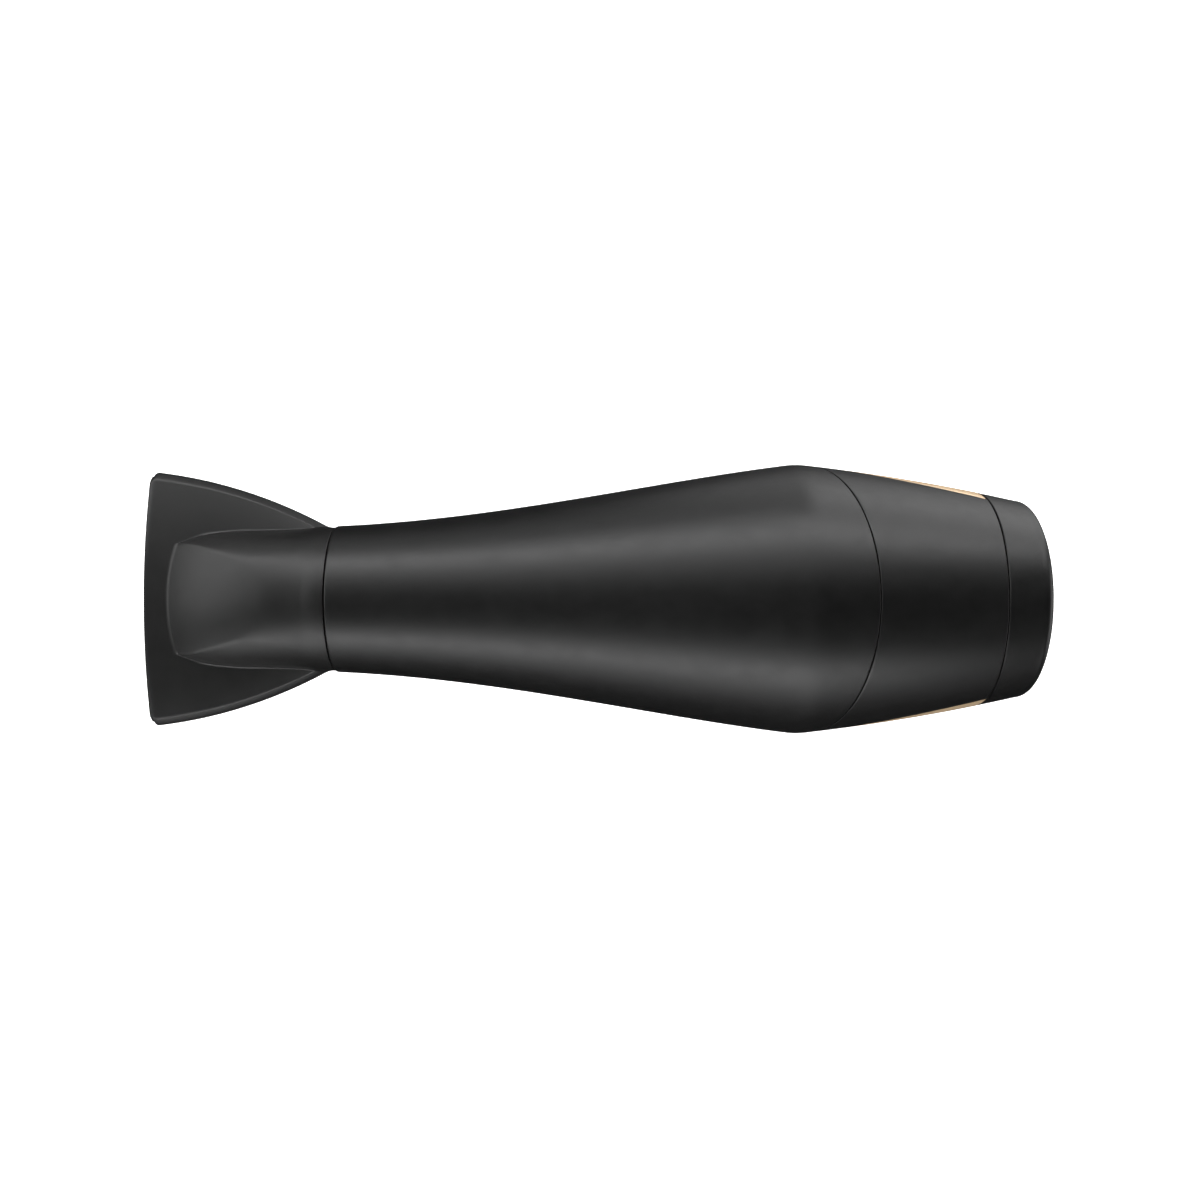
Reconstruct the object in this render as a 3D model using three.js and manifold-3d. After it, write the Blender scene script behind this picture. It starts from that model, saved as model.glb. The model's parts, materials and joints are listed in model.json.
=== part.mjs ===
// A full-size hair dryer: a tapered barrel with an air-concentrating nozzle, a removable intake cap and a
// tilted handle, with its fan, motor, heater and switches inside.
// Millimetres. The origin is the centre of the air outlet, on the barrel's axis. +X runs back to the intake,
// +Z is up and the handle points down.
import * as THREE from "three";
import { mergeVertices } from "three/addons/utils/BufferGeometryUtils.js";
import Module from "manifold-3d";

const wasm = await Module();
wasm.setup();

// ---------------------------------------------------------------- driving dimensions
const BARREL_LENGTH = 224; // from the outlet edge to the intake face
const OUTLET_RADIUS = 24; // of the barrel at its front edge
const RIDGE_RADIUS = 44; // where the barrel is widest
const REAR_LENGTH = 74.5; // from the widest place to the intake face
const INTAKE_RADIUS = 32; // of the barrel at the intake rim
const WALL = 2.2; // of the front housing and the handle
const REAR_WALL = 2.8; // of the rear housing, which the side trims are let into
const SEAM_GAP = 0.3; // between neighbouring mouldings
const SLIDE_GAP = 0.35; // between a moving piece and what guides it
const SEAM_SLANT = 19.9; // degrees, of the joint between the front and rear housings
const CAP_LENGTH = 15.2; // of the intake cap that shows
const HANDLE_TILT = 12; // degrees, with the foot towards the nozzle
const HANDLE_LENGTH = 168; // from the barrel's axis to the foot, along the handle
const HANDLE_DEPTH = 37; // of the grip, from front to back
const HANDLE_WIDTH = 32; // of the grip, from side to side
const NOZZLE_LENGTH = 61.5; // from the barrel's edge to the mouth
const NOZZLE_WIDTH = 83; // of the mouth
const NOZZLE_WALL = 1.6;
const MOUTH_HEIGHT = 14; // of the mouth, outside, at its middle
const MOTOR_RADIUS = 19; // of the motor's can
const MOTOR_LENGTH = 42;
const FAN_BLADES = 9;
const HEATER_LENGTH = 82;
const ROCKER_LENGTH = 17;
const ROCKER_WIDTH = 9.6;
const BUTTON_LENGTH = 15;
const BUTTON_WIDTH = 9;
const BUTTON_TRAVEL = 2.5;
const CORD_RADIUS = 4.2; // of the hole for the mains lead

// ---------------------------------------------------------------- places worked out from them
const RIDGE_X = BARREL_LENGTH - REAR_LENGTH;
const CAP_SEAM_X = BARREL_LENGTH - CAP_LENGTH;
const SEAM_X = RIDGE_X + 3.9; // the slanted joint, on the axis
const HANDLE_X = RIDGE_X - 34.5; // where the handle's centreline meets the axis
const NECK_END = RIDGE_RADIUS + 12; // down the handle, where the housing's neck stops
const FOOT_HEIGHT = 8;
const GRIP_END = HANDLE_LENGTH - FOOT_HEIGHT;
const COLLAR_RADIUS = OUTLET_RADIUS - 0.45;
const SLEEVE_NOSE = 14; // of the outlet sleeve, out of the barrel
const COLLAR_BORE = COLLAR_RADIUS - 2.45;
const SLEEVE_RADIUS = COLLAR_BORE - SLIDE_GAP - 0.1;
const SLEEVE_WALL = 2.2;
const BARREL_SIDES = 28;

// ---------------------------------------------------------------- materials
const finish = (color, roughness, metalness) =>
  new THREE.MeshStandardMaterial({ color, roughness, metalness });
const satinBlack = finish(0x1c1c1d, 0.42, 0);
const capBlack = finish(0x171718, 0.5, 0);
const rubberBlack = finish(0x141414, 0.75, 0);
const champagne = finish(0xc9a27c, 0.28, 1);
const heatPlastic = finish(0x101011, 0.6, 0);
const fanPlastic = finish(0x2a2b2d, 0.5, 0);
const mica = finish(0xb9a888, 0.7, 0);
const steel = finish(0x9a9da1, 0.35, 1);
const nichrome = finish(0x8a817a, 0.4, 1);
const copper = finish(0xb06a3c, 0.35, 1);
const carbon = finish(0x222222, 0.8, 0);
const switchPlastic = finish(0x0c0c0d, 0.45, 0);
const blueLead = finish(0x2c5a9c, 0.6, 0);
const brownLead = finish(0x6b4227, 0.6, 0);

// ---------------------------------------------------------------- solids from geometries
// A closed geometry as a manifold solid with its faces pointing out.
function solid(geometry) {
  const bare = geometry.index ? geometry.toNonIndexed() : geometry.clone();
  for (const name of Object.keys(bare.attributes)) {
    if (name !== "position") bare.deleteAttribute(name);
  }
  const merged = mergeVertices(bare, 1e-4);
  const index = merged.index.array;
  const kept = [];
  for (let i = 0; i < index.length; i += 3) {
    const [a, b, c] = [index[i], index[i + 1], index[i + 2]];
    if (a !== b && b !== c && c !== a) kept.push(a, b, c);
  }
  const vertProperties = merged.attributes.position.array;
  const build = (triangles) =>
    new wasm.Manifold(new wasm.Mesh({ numProp: 3, vertProperties, triVerts: new Uint32Array(triangles) }));
  const made = build(kept);
  return made.volume() < 0 ? build(kept.reverse()) : made;
}

// A manifold solid as a geometry.
function geometryOf(made) {
  const mesh = made.getMesh();
  const count = mesh.numVert;
  const positions = new Float32Array(count * 3);
  for (let i = 0; i < count; i++) {
    positions.set(mesh.vertProperties.subarray(i * mesh.numProp, i * mesh.numProp + 3), i * 3);
  }
  return new THREE.BufferGeometry()
    .setAttribute("position", new THREE.BufferAttribute(positions, 3))
    .setIndex(new THREE.BufferAttribute(mesh.triVerts, 1));
}

const join = (...solids) => solids.reduce((all, one) => all.add(one));

function piece(name, made, material) {
  const mesh = new THREE.Mesh(geometryOf(made), material);
  mesh.name = name;
  return mesh;
}

// A solid of revolution around X, from [x, radius] pairs that go round its section.
function turned(pairs, sides = 32) {
  const points = [...pairs, pairs[0]].map(([x, radius]) => new THREE.Vector2(radius, x));
  return solid(new THREE.LatheGeometry(points, sides).rotateZ(-Math.PI / 2));
}

const tube = (x0, x1, inner, outer, sides) =>
  turned([[x0, inner], [x1, inner], [x1, outer], [x0, outer]], sides);
const rod = (x0, x1, radius, sides) => turned([[x0, 0], [x1, 0], [x1, radius], [x0, radius]], sides);

// A box from its lowest to its highest corner.
function box(low, high) {
  const size = high.map((value, i) => value - low[i]);
  const middle = high.map((value, i) => (value + low[i]) / 2);
  return solid(new THREE.BoxGeometry(...size).translate(...middle));
}

// A solid through rings of points that all have the same count, closed at both ends.
function loft(rings) {
  const count = rings[0].length;
  const positions = rings.flat().flatMap((p) => p.toArray());
  const index = [];
  rings.slice(1).forEach((_, i) => {
    for (let j = 0; j < count; j++) {
      const a = i * count + j;
      const b = i * count + ((j + 1) % count);
      index.push(a, b, b + count, a, b + count, a + count);
    }
  });
  for (const [ring, turn] of [[0, true], [rings.length - 1, false]]) {
    const centre = new THREE.Vector3();
    rings[ring].forEach((p) => centre.addScaledVector(p, 1 / count));
    const hub = positions.length / 3;
    positions.push(...centre.toArray());
    for (let j = 0; j < count; j++) {
      const pair = [ring * count + j, ring * count + ((j + 1) % count)];
      index.push(hub, ...(turn ? pair.reverse() : pair));
    }
  }
  const geometry = new THREE.BufferGeometry();
  geometry.setAttribute("position", new THREE.Float32BufferAttribute(positions, 3));
  return solid(geometry.setIndex(index));
}

// A round wire along points.
function wire(points, radius, steps, sides = 8) {
  const section = new THREE.Shape();
  for (let i = 0; i < sides; i++) {
    const angle = (2 * Math.PI * i) / sides;
    section[i ? "lineTo" : "moveTo"](radius * Math.cos(angle), radius * Math.sin(angle));
  }
  section.closePath();
  const extrudePath = new THREE.CatmullRomCurve3(points.map((p) => new THREE.Vector3(...p)));
  return solid(new THREE.ExtrudeGeometry(section, { steps, bevelEnabled: false, extrudePath }));
}

// The same solid turned round the X axis into count places.
const around = (count, made, start = 0) =>
  join(...Array.from({ length: count }, (_, i) => made.rotate([start + (360 * i) / count, 0, 0])));

// ---------------------------------------------------------------- the barrel's line
const FRONT_FLARE = 0.044; // slope of the barrel's line at the outlet
const RIDGE_RISE = 0.122; // slope just before the widest place
const RIDGE_FALL = -0.113; // slope just behind it
const RIDGE_BLEND = 3; // half the length of the rounding between them
const RIM_ROUNDING = 3; // of the intake cap's edge

// The barrel's outer line as curves of radius over distance from the outlet.
function barrelLine() {
  const at = (x, radius) => new THREE.Vector2(x, radius);
  const corner = RIDGE_RADIUS + 0.1;
  const rise = at(RIDGE_X - RIDGE_BLEND, corner - RIDGE_RISE * RIDGE_BLEND);
  const fall = at(RIDGE_X + RIDGE_BLEND, corner + RIDGE_FALL * RIDGE_BLEND);
  const pull = rise.x * 0.37;
  const push = rise.x * 0.3;
  const half = (BARREL_LENGTH - RIM_ROUNDING - fall.x) / 2;
  return [
    new THREE.CubicBezierCurve(
      at(0, OUTLET_RADIUS),
      at(pull, OUTLET_RADIUS + FRONT_FLARE * pull),
      at(rise.x - push, rise.y - RIDGE_RISE * push),
      rise,
    ),
    new THREE.QuadraticBezierCurve(rise, at(RIDGE_X, corner), fall),
    new THREE.QuadraticBezierCurve(
      fall,
      at(fall.x + half, fall.y + RIDGE_FALL * half),
      at(fall.x + 2 * half, INTAKE_RADIUS + 0.3),
    ),
  ];
}
const LINE = barrelLine().flatMap((curve) => curve.getPoints(60));
const STATIONS = barrelLine().flatMap((curve, i) => curve.getPoints([6, 2, 4][i]).map((p) => p.x));

// The barrel's outer radius at x. Past its ends the line runs on straight.
function barrelRadius(x) {
  const found = LINE.findIndex((p) => p.x >= x);
  const i = found < 0 ? LINE.length - 1 : Math.max(1, found);
  const [a, b] = [LINE[i - 1], LINE[i]];
  return THREE.MathUtils.mapLinear(x, a.x, b.x, a.y, b.y);
}

// [x, radius] pairs along the barrel's line at its shared stations, moved inwards by inset.
function linePairs(x0, x1, inset = 0) {
  const between = STATIONS.filter((x, i) => x > x0 + 0.5 && x < x1 - 0.5 && x !== STATIONS[i - 1]);
  return [x0, ...between, x1].map((x) => [x, barrelRadius(x) - inset]);
}

// A full body of revolution under the barrel's line, moved inwards by inset.
const underLine = (x0, x1, inset = 0) =>
  turned([[x0, 0], ...linePairs(x0, x1, inset), [x1, 0]], BARREL_SIDES);

// Everything behind (or, with side -1, in front of) the slanted joint, and half of the joint's gap.
function behindJoint(side) {
  const size = 300;
  const block = new THREE.BoxGeometry(size, size, size).translate((side * (size - SEAM_GAP)) / 2, 0, 0);
  return solid(block.rotateY(THREE.MathUtils.degToRad(SEAM_SLANT)).translate(SEAM_X, 0, 0));
}

// ---------------------------------------------------------------- the handle's frame
const handle = new THREE.Group();
handle.position.set(HANDLE_X, 0, 0);
handle.rotation.y = THREE.MathUtils.degToRad(HANDLE_TILT);
handle.updateMatrix();

// A rounded oval across the handle, down by s: x forwards and back, y from side to side.
function handleRing(s, inset = 0, sides = 20) {
  const neck = 3.2 * Math.exp(-(((s - NECK_END + 14) / 13) ** 2));
  const swell = neck + 0.8 * Math.exp(-(((s - GRIP_END) / 16) ** 2));
  const depth = HANDLE_DEPTH / 2 + swell - inset;
  const width = HANDLE_WIDTH / 2 + swell * 0.6 - inset;
  const power = 2 / 2.35;
  return Array.from({ length: sides }, (_, i) => {
    const angle = (2 * Math.PI * i) / sides;
    const [c, d] = [Math.cos(angle), Math.sin(angle)];
    return new THREE.Vector3(
      depth * Math.sign(c) * Math.abs(c) ** power,
      width * Math.sign(d) * Math.abs(d) ** power,
      -s,
    );
  });
}

// The handle's solid between two places, moved inwards by inset.
function handleBody(s0, s1, count, inset = 0) {
  const stations = Array.from({ length: count + 1 }, (_, i) => THREE.MathUtils.lerp(s0, s1, i / count));
  return loft(stations.map((s) => handleRing(s, inset)));
}

// A solid in the handle's own frame, moved into the part's frame.
const fromHandle = (made) => solid(geometryOf(made).applyMatrix4(handle.matrix));

// ---------------------------------------------------------------- nozzle
const FAN_ARC = 156; // radius of the flared plate's side outline
const DUCT_FOOT = 22.9; // half the width of the round duct where it stands on the plate
const RAMP_LENGTH = 54; // from the collar to where the duct's ramp meets the plate
const PLATE_EDGE = 2.5; // half the plate's thickness at its sides

// Half the width of the flared plate, out from the collar by u.
function plateHalf(u) {
  const mouthSlope = 0.09;
  const lean = Math.atan(mouthSlope);
  const centreU = NOZZLE_LENGTH + FAN_ARC * Math.sin(lean);
  return NOZZLE_WIDTH / 2 - FAN_ARC * Math.cos(lean) + Math.sqrt(FAN_ARC ** 2 - (centreU - u) ** 2);
}

// A ring of the flared plate: a lens with rounded sides.
function plateRing(u, inset) {
  const half = plateHalf(Math.min(u, NOZZLE_LENGTH)) - inset;
  const edge = PLATE_EDGE - Math.min(inset, PLATE_EDGE - 0.9);
  const top = [];
  const flat = half - edge;
  for (const v of [1, 0.75, 0.5, 0.25, 0, -0.25, -0.5, -0.75, -1]) {
    const crown = (MOUTH_HEIGHT / 2 - PLATE_EDGE - (inset - (PLATE_EDGE - edge))) * (1 - v * v);
    top.push([v * flat, edge + crown]);
  }
  const round = [[flat + edge * 0.8, edge * 0.6], [flat + edge, 0]];
  const upper = [round[1], round[0], ...top, [-round[0][0], round[0][1]], [-round[1][0], 0]];
  const lower = upper.slice(1, -1).reverse().map(([y, z]) => [y, -z]);
  return [...upper, ...lower].map(([y, z]) => new THREE.Vector3(-u, y, z));
}

// The ramp's height on the centreline, and the crease that bounds the ramp, out from the collar by u.
function rampHeight(u) {
  const share = THREE.MathUtils.clamp(u / RAMP_LENGTH, 0, 1);
  return COLLAR_RADIUS - (COLLAR_RADIUS - MOUTH_HEIGHT / 2) * (0.45 * share + 0.55 * share ** 3);
}

// A ring of the duct: a ramp above and below, and round side walls.
function ductRing(u, inset) {
  const share = THREE.MathUtils.clamp(u / RAMP_LENGTH, 0, 1);
  const foot = DUCT_FOOT - 4.9 * share ** 4 + (COLLAR_RADIUS - DUCT_FOOT) * Math.max(0, 1 - u / 6);
  const top = rampHeight(u) - inset;
  const creaseY = (10 + 8 * share) * ((foot - inset) / foot);
  const creaseZ = top * (1 - 0.115 * (1 - share) - 0.02);
  const start = Math.atan2(creaseZ, creaseY);
  const reach = Math.hypot(creaseY, creaseZ);
  const quarter = [[0, top], [creaseY * 0.5, top - (top - creaseZ) * 0.25]];
  for (const t of [0, 0.33, 0.67, 1]) {
    const angle = start * (1 - t);
    const radius = THREE.MathUtils.lerp(reach, foot - inset, Math.sin((t * Math.PI) / 2));
    quarter.push([radius * Math.cos(angle), radius * Math.sin(angle)]);
  }
  const right = [...quarter, ...quarter.slice(0, -1).reverse().map(([y, z]) => [y, -z])];
  const left = right.slice(1, -1).reverse().map(([y, z]) => [-y, z]);
  return [...right, ...left].map(([y, z]) => new THREE.Vector3(-u, y, z));
}

function nozzleShell() {
  const duct = (stations, inset) => loft(stations.map((u) => ductRing(u, inset)));
  const plate = (stations, inset) => loft(stations.map((u) => plateRing(u, inset)));
  const collar = tube(-SLEEVE_NOSE, -SEAM_GAP, 0.01, COLLAR_RADIUS, BARREL_SIDES);
  const plateStart = 4;
  const steps = [0.12, 0.3, 0.5, 0.75, 1].map((share) => share * NOZZLE_LENGTH);
  const outside = join(
    collar,
    duct([6, 14, 24, 34, 44, RAMP_LENGTH], 0),
    plate([plateStart, ...steps], 0),
  );
  const boreEnd = SLEEVE_NOSE + 2;
  const inside = join(
    rod(-boreEnd, 1, COLLAR_BORE, BARREL_SIDES),
    duct([boreEnd - 1, 24, 34, 44, RAMP_LENGTH - 2], NOZZLE_WALL),
    plate([boreEnd - 2, ...steps, NOZZLE_LENGTH + 2], NOZZLE_WALL),
  );
  return piece("nozzle_shell", outside.subtract(inside), satinBlack);
}

const RING_WIRE = 0.5; // radius of the snap ring's wire
const RING_X = -SLEEVE_NOSE / 2;

// An open ring of spring wire that lies in the sleeve's groove.
function snapRing() {
  const radius = COLLAR_BORE - SLIDE_GAP / 2 - RING_WIRE;
  const opening = 0.35;
  const points = Array.from({ length: 25 }, (_, i) => {
    const angle = opening + ((2 * Math.PI - 2 * opening) * i) / 24 - Math.PI / 2;
    return [RING_X, radius * Math.cos(angle), radius * Math.sin(angle)];
  });
  return piece("nozzle_snap_ring", wire(points, RING_WIRE, 24, 5), steel);
}

// ---------------------------------------------------------------- outlet
const SLEEVE_BORE = SLEEVE_RADIUS - SLEEVE_WALL;

function outletSleeve() {
  const groove = 0.8;
  const grooveRadius = COLLAR_BORE - SLIDE_GAP / 2 - 2 * RING_WIRE - 0.2;
  const flange = OUTLET_RADIUS - WALL - SLIDE_GAP;
  const section = [
    [-SLEEVE_NOSE, SLEEVE_BORE],
    [5, SLEEVE_BORE],
    [5, flange],
    [1, flange],
    [1, SLEEVE_RADIUS],
    [RING_X + groove, SLEEVE_RADIUS],
    [RING_X + groove, grooveRadius],
    [RING_X - groove, grooveRadius],
    [RING_X - groove, SLEEVE_RADIUS],
    [1 - SLEEVE_NOSE, SLEEVE_RADIUS],
    [-SLEEVE_NOSE, SLEEVE_RADIUS - 0.8],
  ];
  return piece("outlet_sleeve", turned(section, BARREL_SIDES), heatPlastic);
}

// A hub and rings held by spokes, from x0 to x1. The outermost ring's radius is outer.
function grille({ x0, x1, outer, hub, rings, ringWidth, spokes, spokeWidth }) {
  const pitch = (outer - hub) / rings;
  const hoops = Array.from({ length: rings }, (_, i) => {
    const radius = hub + pitch * (i + 1);
    return tube(x0, x1, radius - ringWidth, radius, 20);
  });
  const half = spokeWidth / 2;
  const spoke = box([x0 + 0.3, -half, hub * 0.5], [x1 - 0.3, half, outer - ringWidth / 2]);
  return join(rod(x0, x1, hub, 20), ...hoops, around(spokes, spoke));
}

function outletGrille() {
  const made = grille({
    x0: 0, x1: 2.4, outer: SLEEVE_BORE - SEAM_GAP, hub: 4, rings: 2, ringWidth: 1.4,
    spokes: 4, spokeWidth: 1.4,
  });
  return piece("outlet_grille", made, steel);
}

// ---------------------------------------------------------------- housings
const JOINT_REACH = 20; // past the slanted joint, before it is cut
const HOUSING_BOSS = 2.9;
const HOUSING_SCREW = 1.1; // radius
const HOUSING_HEAD = 2.3;
const SCREW_SEAT = SEAM_X + 9;
const TRIM_SKIN = 1.2; // thickness of the side trims
// How far the housings' screws are from the axis, to either side, just under the side trims.
const SCREW_OFFSET = barrelRadius(SCREW_SEAT + 2) - TRIM_SKIN - HOUSING_HEAD - 0.4;

// A bar along X from x0 to x1 at the place of the housings' screws, on both sides.
function bothSides(x0, x1, radius) {
  const bar = rod(x0, x1, radius, 12);
  return join(bar.translate([0, SCREW_OFFSET, 0]), bar.translate([0, -SCREW_OFFSET, 0]));
}

function frontHousing() {
  const end = SEAM_X + JOINT_REACH;
  const passage = handleBody(RIDGE_RADIUS - 16, NECK_END + 1, 3, WALL);
  const shell = underLine(0, end)
    .add(fromHandle(handleBody(RIDGE_RADIUS - 20, NECK_END, 5)))
    .subtract(underLine(-1, end + 1, WALL))
    .subtract(fromHandle(passage))
    .add(bothSides(SEAM_X - 14, SEAM_X, HOUSING_BOSS))
    .subtract(bothSides(SEAM_X - 11, SEAM_X + 1, HOUSING_SCREW + SEAM_GAP))
    .subtract(behindJoint(1));
  return piece("front_housing", shell, satinBlack);
}

function housingScrew(name, side) {
  const made = rod(SEAM_X - 9, SCREW_SEAT + 0.5, HOUSING_SCREW, 12)
    .add(rod(SCREW_SEAT + SEAM_GAP, SCREW_SEAT + 2, HOUSING_HEAD, 16))
    .subtract(box([SCREW_SEAT + 1, -0.35, -1.5], [SCREW_SEAT + 3, 0.35, 1.5]))
    .subtract(box([SCREW_SEAT + 1, -1.5, -0.35], [SCREW_SEAT + 3, 1.5, 0.35]));
  return piece(name, made.translate([0, side * SCREW_OFFSET, 0]), steel);
}

const TRIM_RISE = 14.2; // half the height of a side trim at the cap
const TRIM_START = RIDGE_X + 6;
const TRIM_BEND = 0.2; // where its edges bend, as a share of its length
const TRIM_BELLY = 0.86; // how high its edges' bend is, as a share of its rise

// The side trims' outline, a dart that points forwards, grown by spare, as a prism on one side.
function dart(spare, side) {
  const outline = new THREE.Shape();
  const start = TRIM_START - spare * 3;
  const end = CAP_SEAM_X + 4;
  const bend = THREE.MathUtils.lerp(TRIM_START, end, TRIM_BEND);
  const [belly, tail] = [TRIM_RISE * TRIM_BELLY + spare, TRIM_RISE + 0.25 + spare];
  outline.moveTo(start, 0);
  outline.quadraticCurveTo(bend, belly, end, tail);
  outline.lineTo(end, -tail);
  outline.quadraticCurveTo(bend, -belly, start, 0);
  const depth = RIDGE_RADIUS + 20;
  const block = new THREE.ExtrudeGeometry(outline, { depth, bevelEnabled: false, curveSegments: 6 });
  return solid(block.rotateX((side * -Math.PI) / 2));
}

// The outermost layer of the rear housing, as deep as asked, with spare length at both ends.
function rearSkin(depth) {
  const [start, end] = [SEAM_X - JOINT_REACH - 2, CAP_SEAM_X + 2];
  return underLine(start, end).subtract(underLine(start - 1, end + 1, depth));
}

const REAR_END = CAP_SEAM_X - SEAM_GAP / 2;

function rearHousing() {
  const start = SEAM_X - JOINT_REACH;
  const core = underLine(start - 4, CAP_SEAM_X + 8, TRIM_SKIN + SEAM_GAP);
  const pockets = join(dart(SEAM_GAP, 1), dart(SEAM_GAP, -1)).subtract(core);
  const shell = underLine(start - 2, CAP_SEAM_X + 2)
    .subtract(underLine(start - 3, CAP_SEAM_X + 3, REAR_WALL))
    .add(bothSides(SEAM_X, SCREW_SEAT, HOUSING_BOSS))
    .subtract(bothSides(SEAM_X - 1, SCREW_SEAT + 1, HOUSING_SCREW + SEAM_GAP))
    .subtract(bothSides(SCREW_SEAT, SCREW_SEAT + 3, HOUSING_HEAD + SEAM_GAP))
    .subtract(behindJoint(-1))
    .subtract(box([REAR_END, -60, -60], [REAR_END + 20, 60, 60]))
    .subtract(pockets);
  return piece("rear_housing", shell, satinBlack);
}

function sideTrim(name, side) {
  const trimmed = rearSkin(TRIM_SKIN)
    .intersect(dart(0, side))
    .subtract(box([REAR_END, -60, -60], [REAR_END + 20, 60, 60]));
  return piece(name, trimmed, champagne);
}

// ---------------------------------------------------------------- intake cap
const CAP_WALL = 2;
const SKIRT_DEPTH = 6.5;

function rearCap() {
  const start = CAP_SEAM_X + SEAM_GAP / 2;
  const skirt = barrelRadius(CAP_SEAM_X) - REAR_WALL - SLIDE_GAP;
  const edge = BARREL_LENGTH - RIM_ROUNDING;
  const centre = INTAKE_RADIUS - RIM_ROUNDING;
  const rim = [30, 60, 90].map((degrees) => {
    const angle = THREE.MathUtils.degToRad(degrees);
    return [edge + RIM_ROUNDING * Math.sin(angle), centre + RIM_ROUNDING * Math.cos(angle)];
  });
  const inner = centre - 1;
  const section = [
    ...linePairs(start, edge),
    ...rim,
    [BARREL_LENGTH, inner],
    [edge, inner],
    [start + 2, skirt - CAP_WALL],
    [start - SKIRT_DEPTH, skirt - CAP_WALL],
    [start - SKIRT_DEPTH, skirt],
    [start, skirt],
  ];
  const vents = grille({
    x0: BARREL_LENGTH - 2.4, x1: BARREL_LENGTH, outer: inner + 0.6, hub: 6, rings: 3, ringWidth: 3,
    spokes: 6, spokeWidth: 1.6,
  });
  return piece("rear_cap", turned(section, BARREL_SIDES).add(vents), capBlack);
}

const FILTER_X = BARREL_LENGTH - 7.5;

// The lint filter's ring, which snaps into the cap, and its woven mesh, solid here.
function lintFilter() {
  const inner = INTAKE_RADIUS - RIM_ROUNDING - 1;
  const radius = Math.min(inner, barrelRadius(CAP_SEAM_X) - REAR_WALL - SLIDE_GAP - CAP_WALL) - SEAM_GAP;
  const groove = 0.7;
  const ring = turned([
    [FILTER_X - 1.6, radius - 2.4], [FILTER_X - groove, radius - 2.4], [FILTER_X - groove, radius - 1.4],
    [FILTER_X + groove, radius - 1.4], [FILTER_X + groove, radius - 2.4], [FILTER_X + 1.6, radius - 2.4],
    [FILTER_X + 1.6, radius], [FILTER_X - 1.6, radius],
  ], 24);
  const mesh = rod(FILTER_X - 0.2, FILTER_X + 0.2, radius - 1.4 - SEAM_GAP, 24);
  return [piece("filter_ring", ring, capBlack), piece("filter_mesh", mesh, steel)];
}

// ---------------------------------------------------------------- heater
const HEATER_X = 14;
const SHIELD_RADIUS = OUTLET_RADIUS - WALL - 0.9;
const COIL_RADIUS = SHIELD_RADIUS - 2.8;
const BOARD_HALF = COIL_RADIUS - 1.7;
const BOARD_HALF_THICK = 0.5;

function heater() {
  const end = HEATER_X + HEATER_LENGTH;
  const shield = tube(HEATER_X - 6, end + 4, SHIELD_RADIUS - 0.6, SHIELD_RADIUS, 32);
  const slot = box([end - 14, -0.8, BOARD_HALF - 6], [end + 1, 0.8, BOARD_HALF + 1]);
  const board = box([HEATER_X, -BOARD_HALF_THICK, -BOARD_HALF], [end, BOARD_HALF_THICK, BOARD_HALF]);
  const cross = board.add(board.rotate([90, 0, 0])).subtract(slot);
  const turns = 6;
  const each = 12;
  const helix = Array.from({ length: turns * each + 1 }, (_, i) => {
    const angle = (2 * Math.PI * i) / each;
    const x = THREE.MathUtils.lerp(HEATER_X + 6, end - 16, i / (turns * each));
    return [x, COIL_RADIUS * Math.cos(angle), COIL_RADIUS * Math.sin(angle)];
  });
  const clear = BOARD_HALF_THICK + 0.35;
  const stat = box([end - 12, clear, clear], [end - 2, clear + 7, clear + 4.5]);
  const button = rod(0, 2, 2.6, 16).rotate([0, -90, 0]).translate([end - 7, clear + 3.5, clear + 4.4]);
  const fuse = rod(end - 12, end - 2, 1.9, 12).translate([0, -clear - 3, -clear - 2]);
  return [
    piece("heat_shield", shield, mica),
    piece("mica_frame", cross, mica),
    piece("heating_coil", wire(helix, 0.8, turns * each, 5), nichrome),
    piece("thermostat", stat.add(button), steel),
    piece("thermal_fuse", fuse, steel),
  ];
}

// ---------------------------------------------------------------- motor and fan
const MOTOR_REAR = RIDGE_X + 12; // the can's closed end, towards the fan
const MOTOR_FRONT = MOTOR_REAR - MOTOR_LENGTH;
const SHAFT_RADIUS = 1.6;
const MOTOR_SIDES = 20;
const BEARING_RADIUS = 4.6;
const HUB_BORE = MOTOR_RADIUS + 0.4;
const HUB_RADIUS = HUB_BORE + 1.4;
const RING_FRONT = MOTOR_FRONT + 20;
const FAN_FRONT = MOTOR_REAR + 5;
const FAN_DEPTH = 17;
const RING_REAR = FAN_FRONT + FAN_DEPTH + 2;
const RING_RADIUS = Math.min(barrelRadius(RING_FRONT), barrelRadius(RING_REAR)) - REAR_WALL - 1;
const RING_BORE = RING_RADIUS - 1.5;

// A ring round the fan and a hub round the motor, joined by blades that straighten the air.
function guideVanes() {
  const vane = box([RING_FRONT + 2, -0.7, HUB_BORE + 0.7], [MOTOR_REAR - 1, 0.7, RING_BORE + 0.7]);
  const wall = barrelRadius(RING_FRONT) - REAR_WALL - 2 * SEAM_GAP;
  const rib = box([RING_FRONT, -1, RING_RADIUS - 0.6], [RING_FRONT + 5, 1, wall]);
  return piece("guide_vane_housing", join(
    tube(RING_FRONT, RING_REAR, RING_BORE, RING_RADIUS, 28),
    tube(MOTOR_FRONT + 4, MOTOR_REAR, HUB_BORE, HUB_RADIUS, 28),
    around(7, vane),
    around(4, rib, 45),
  ), heatPlastic);
}

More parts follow.
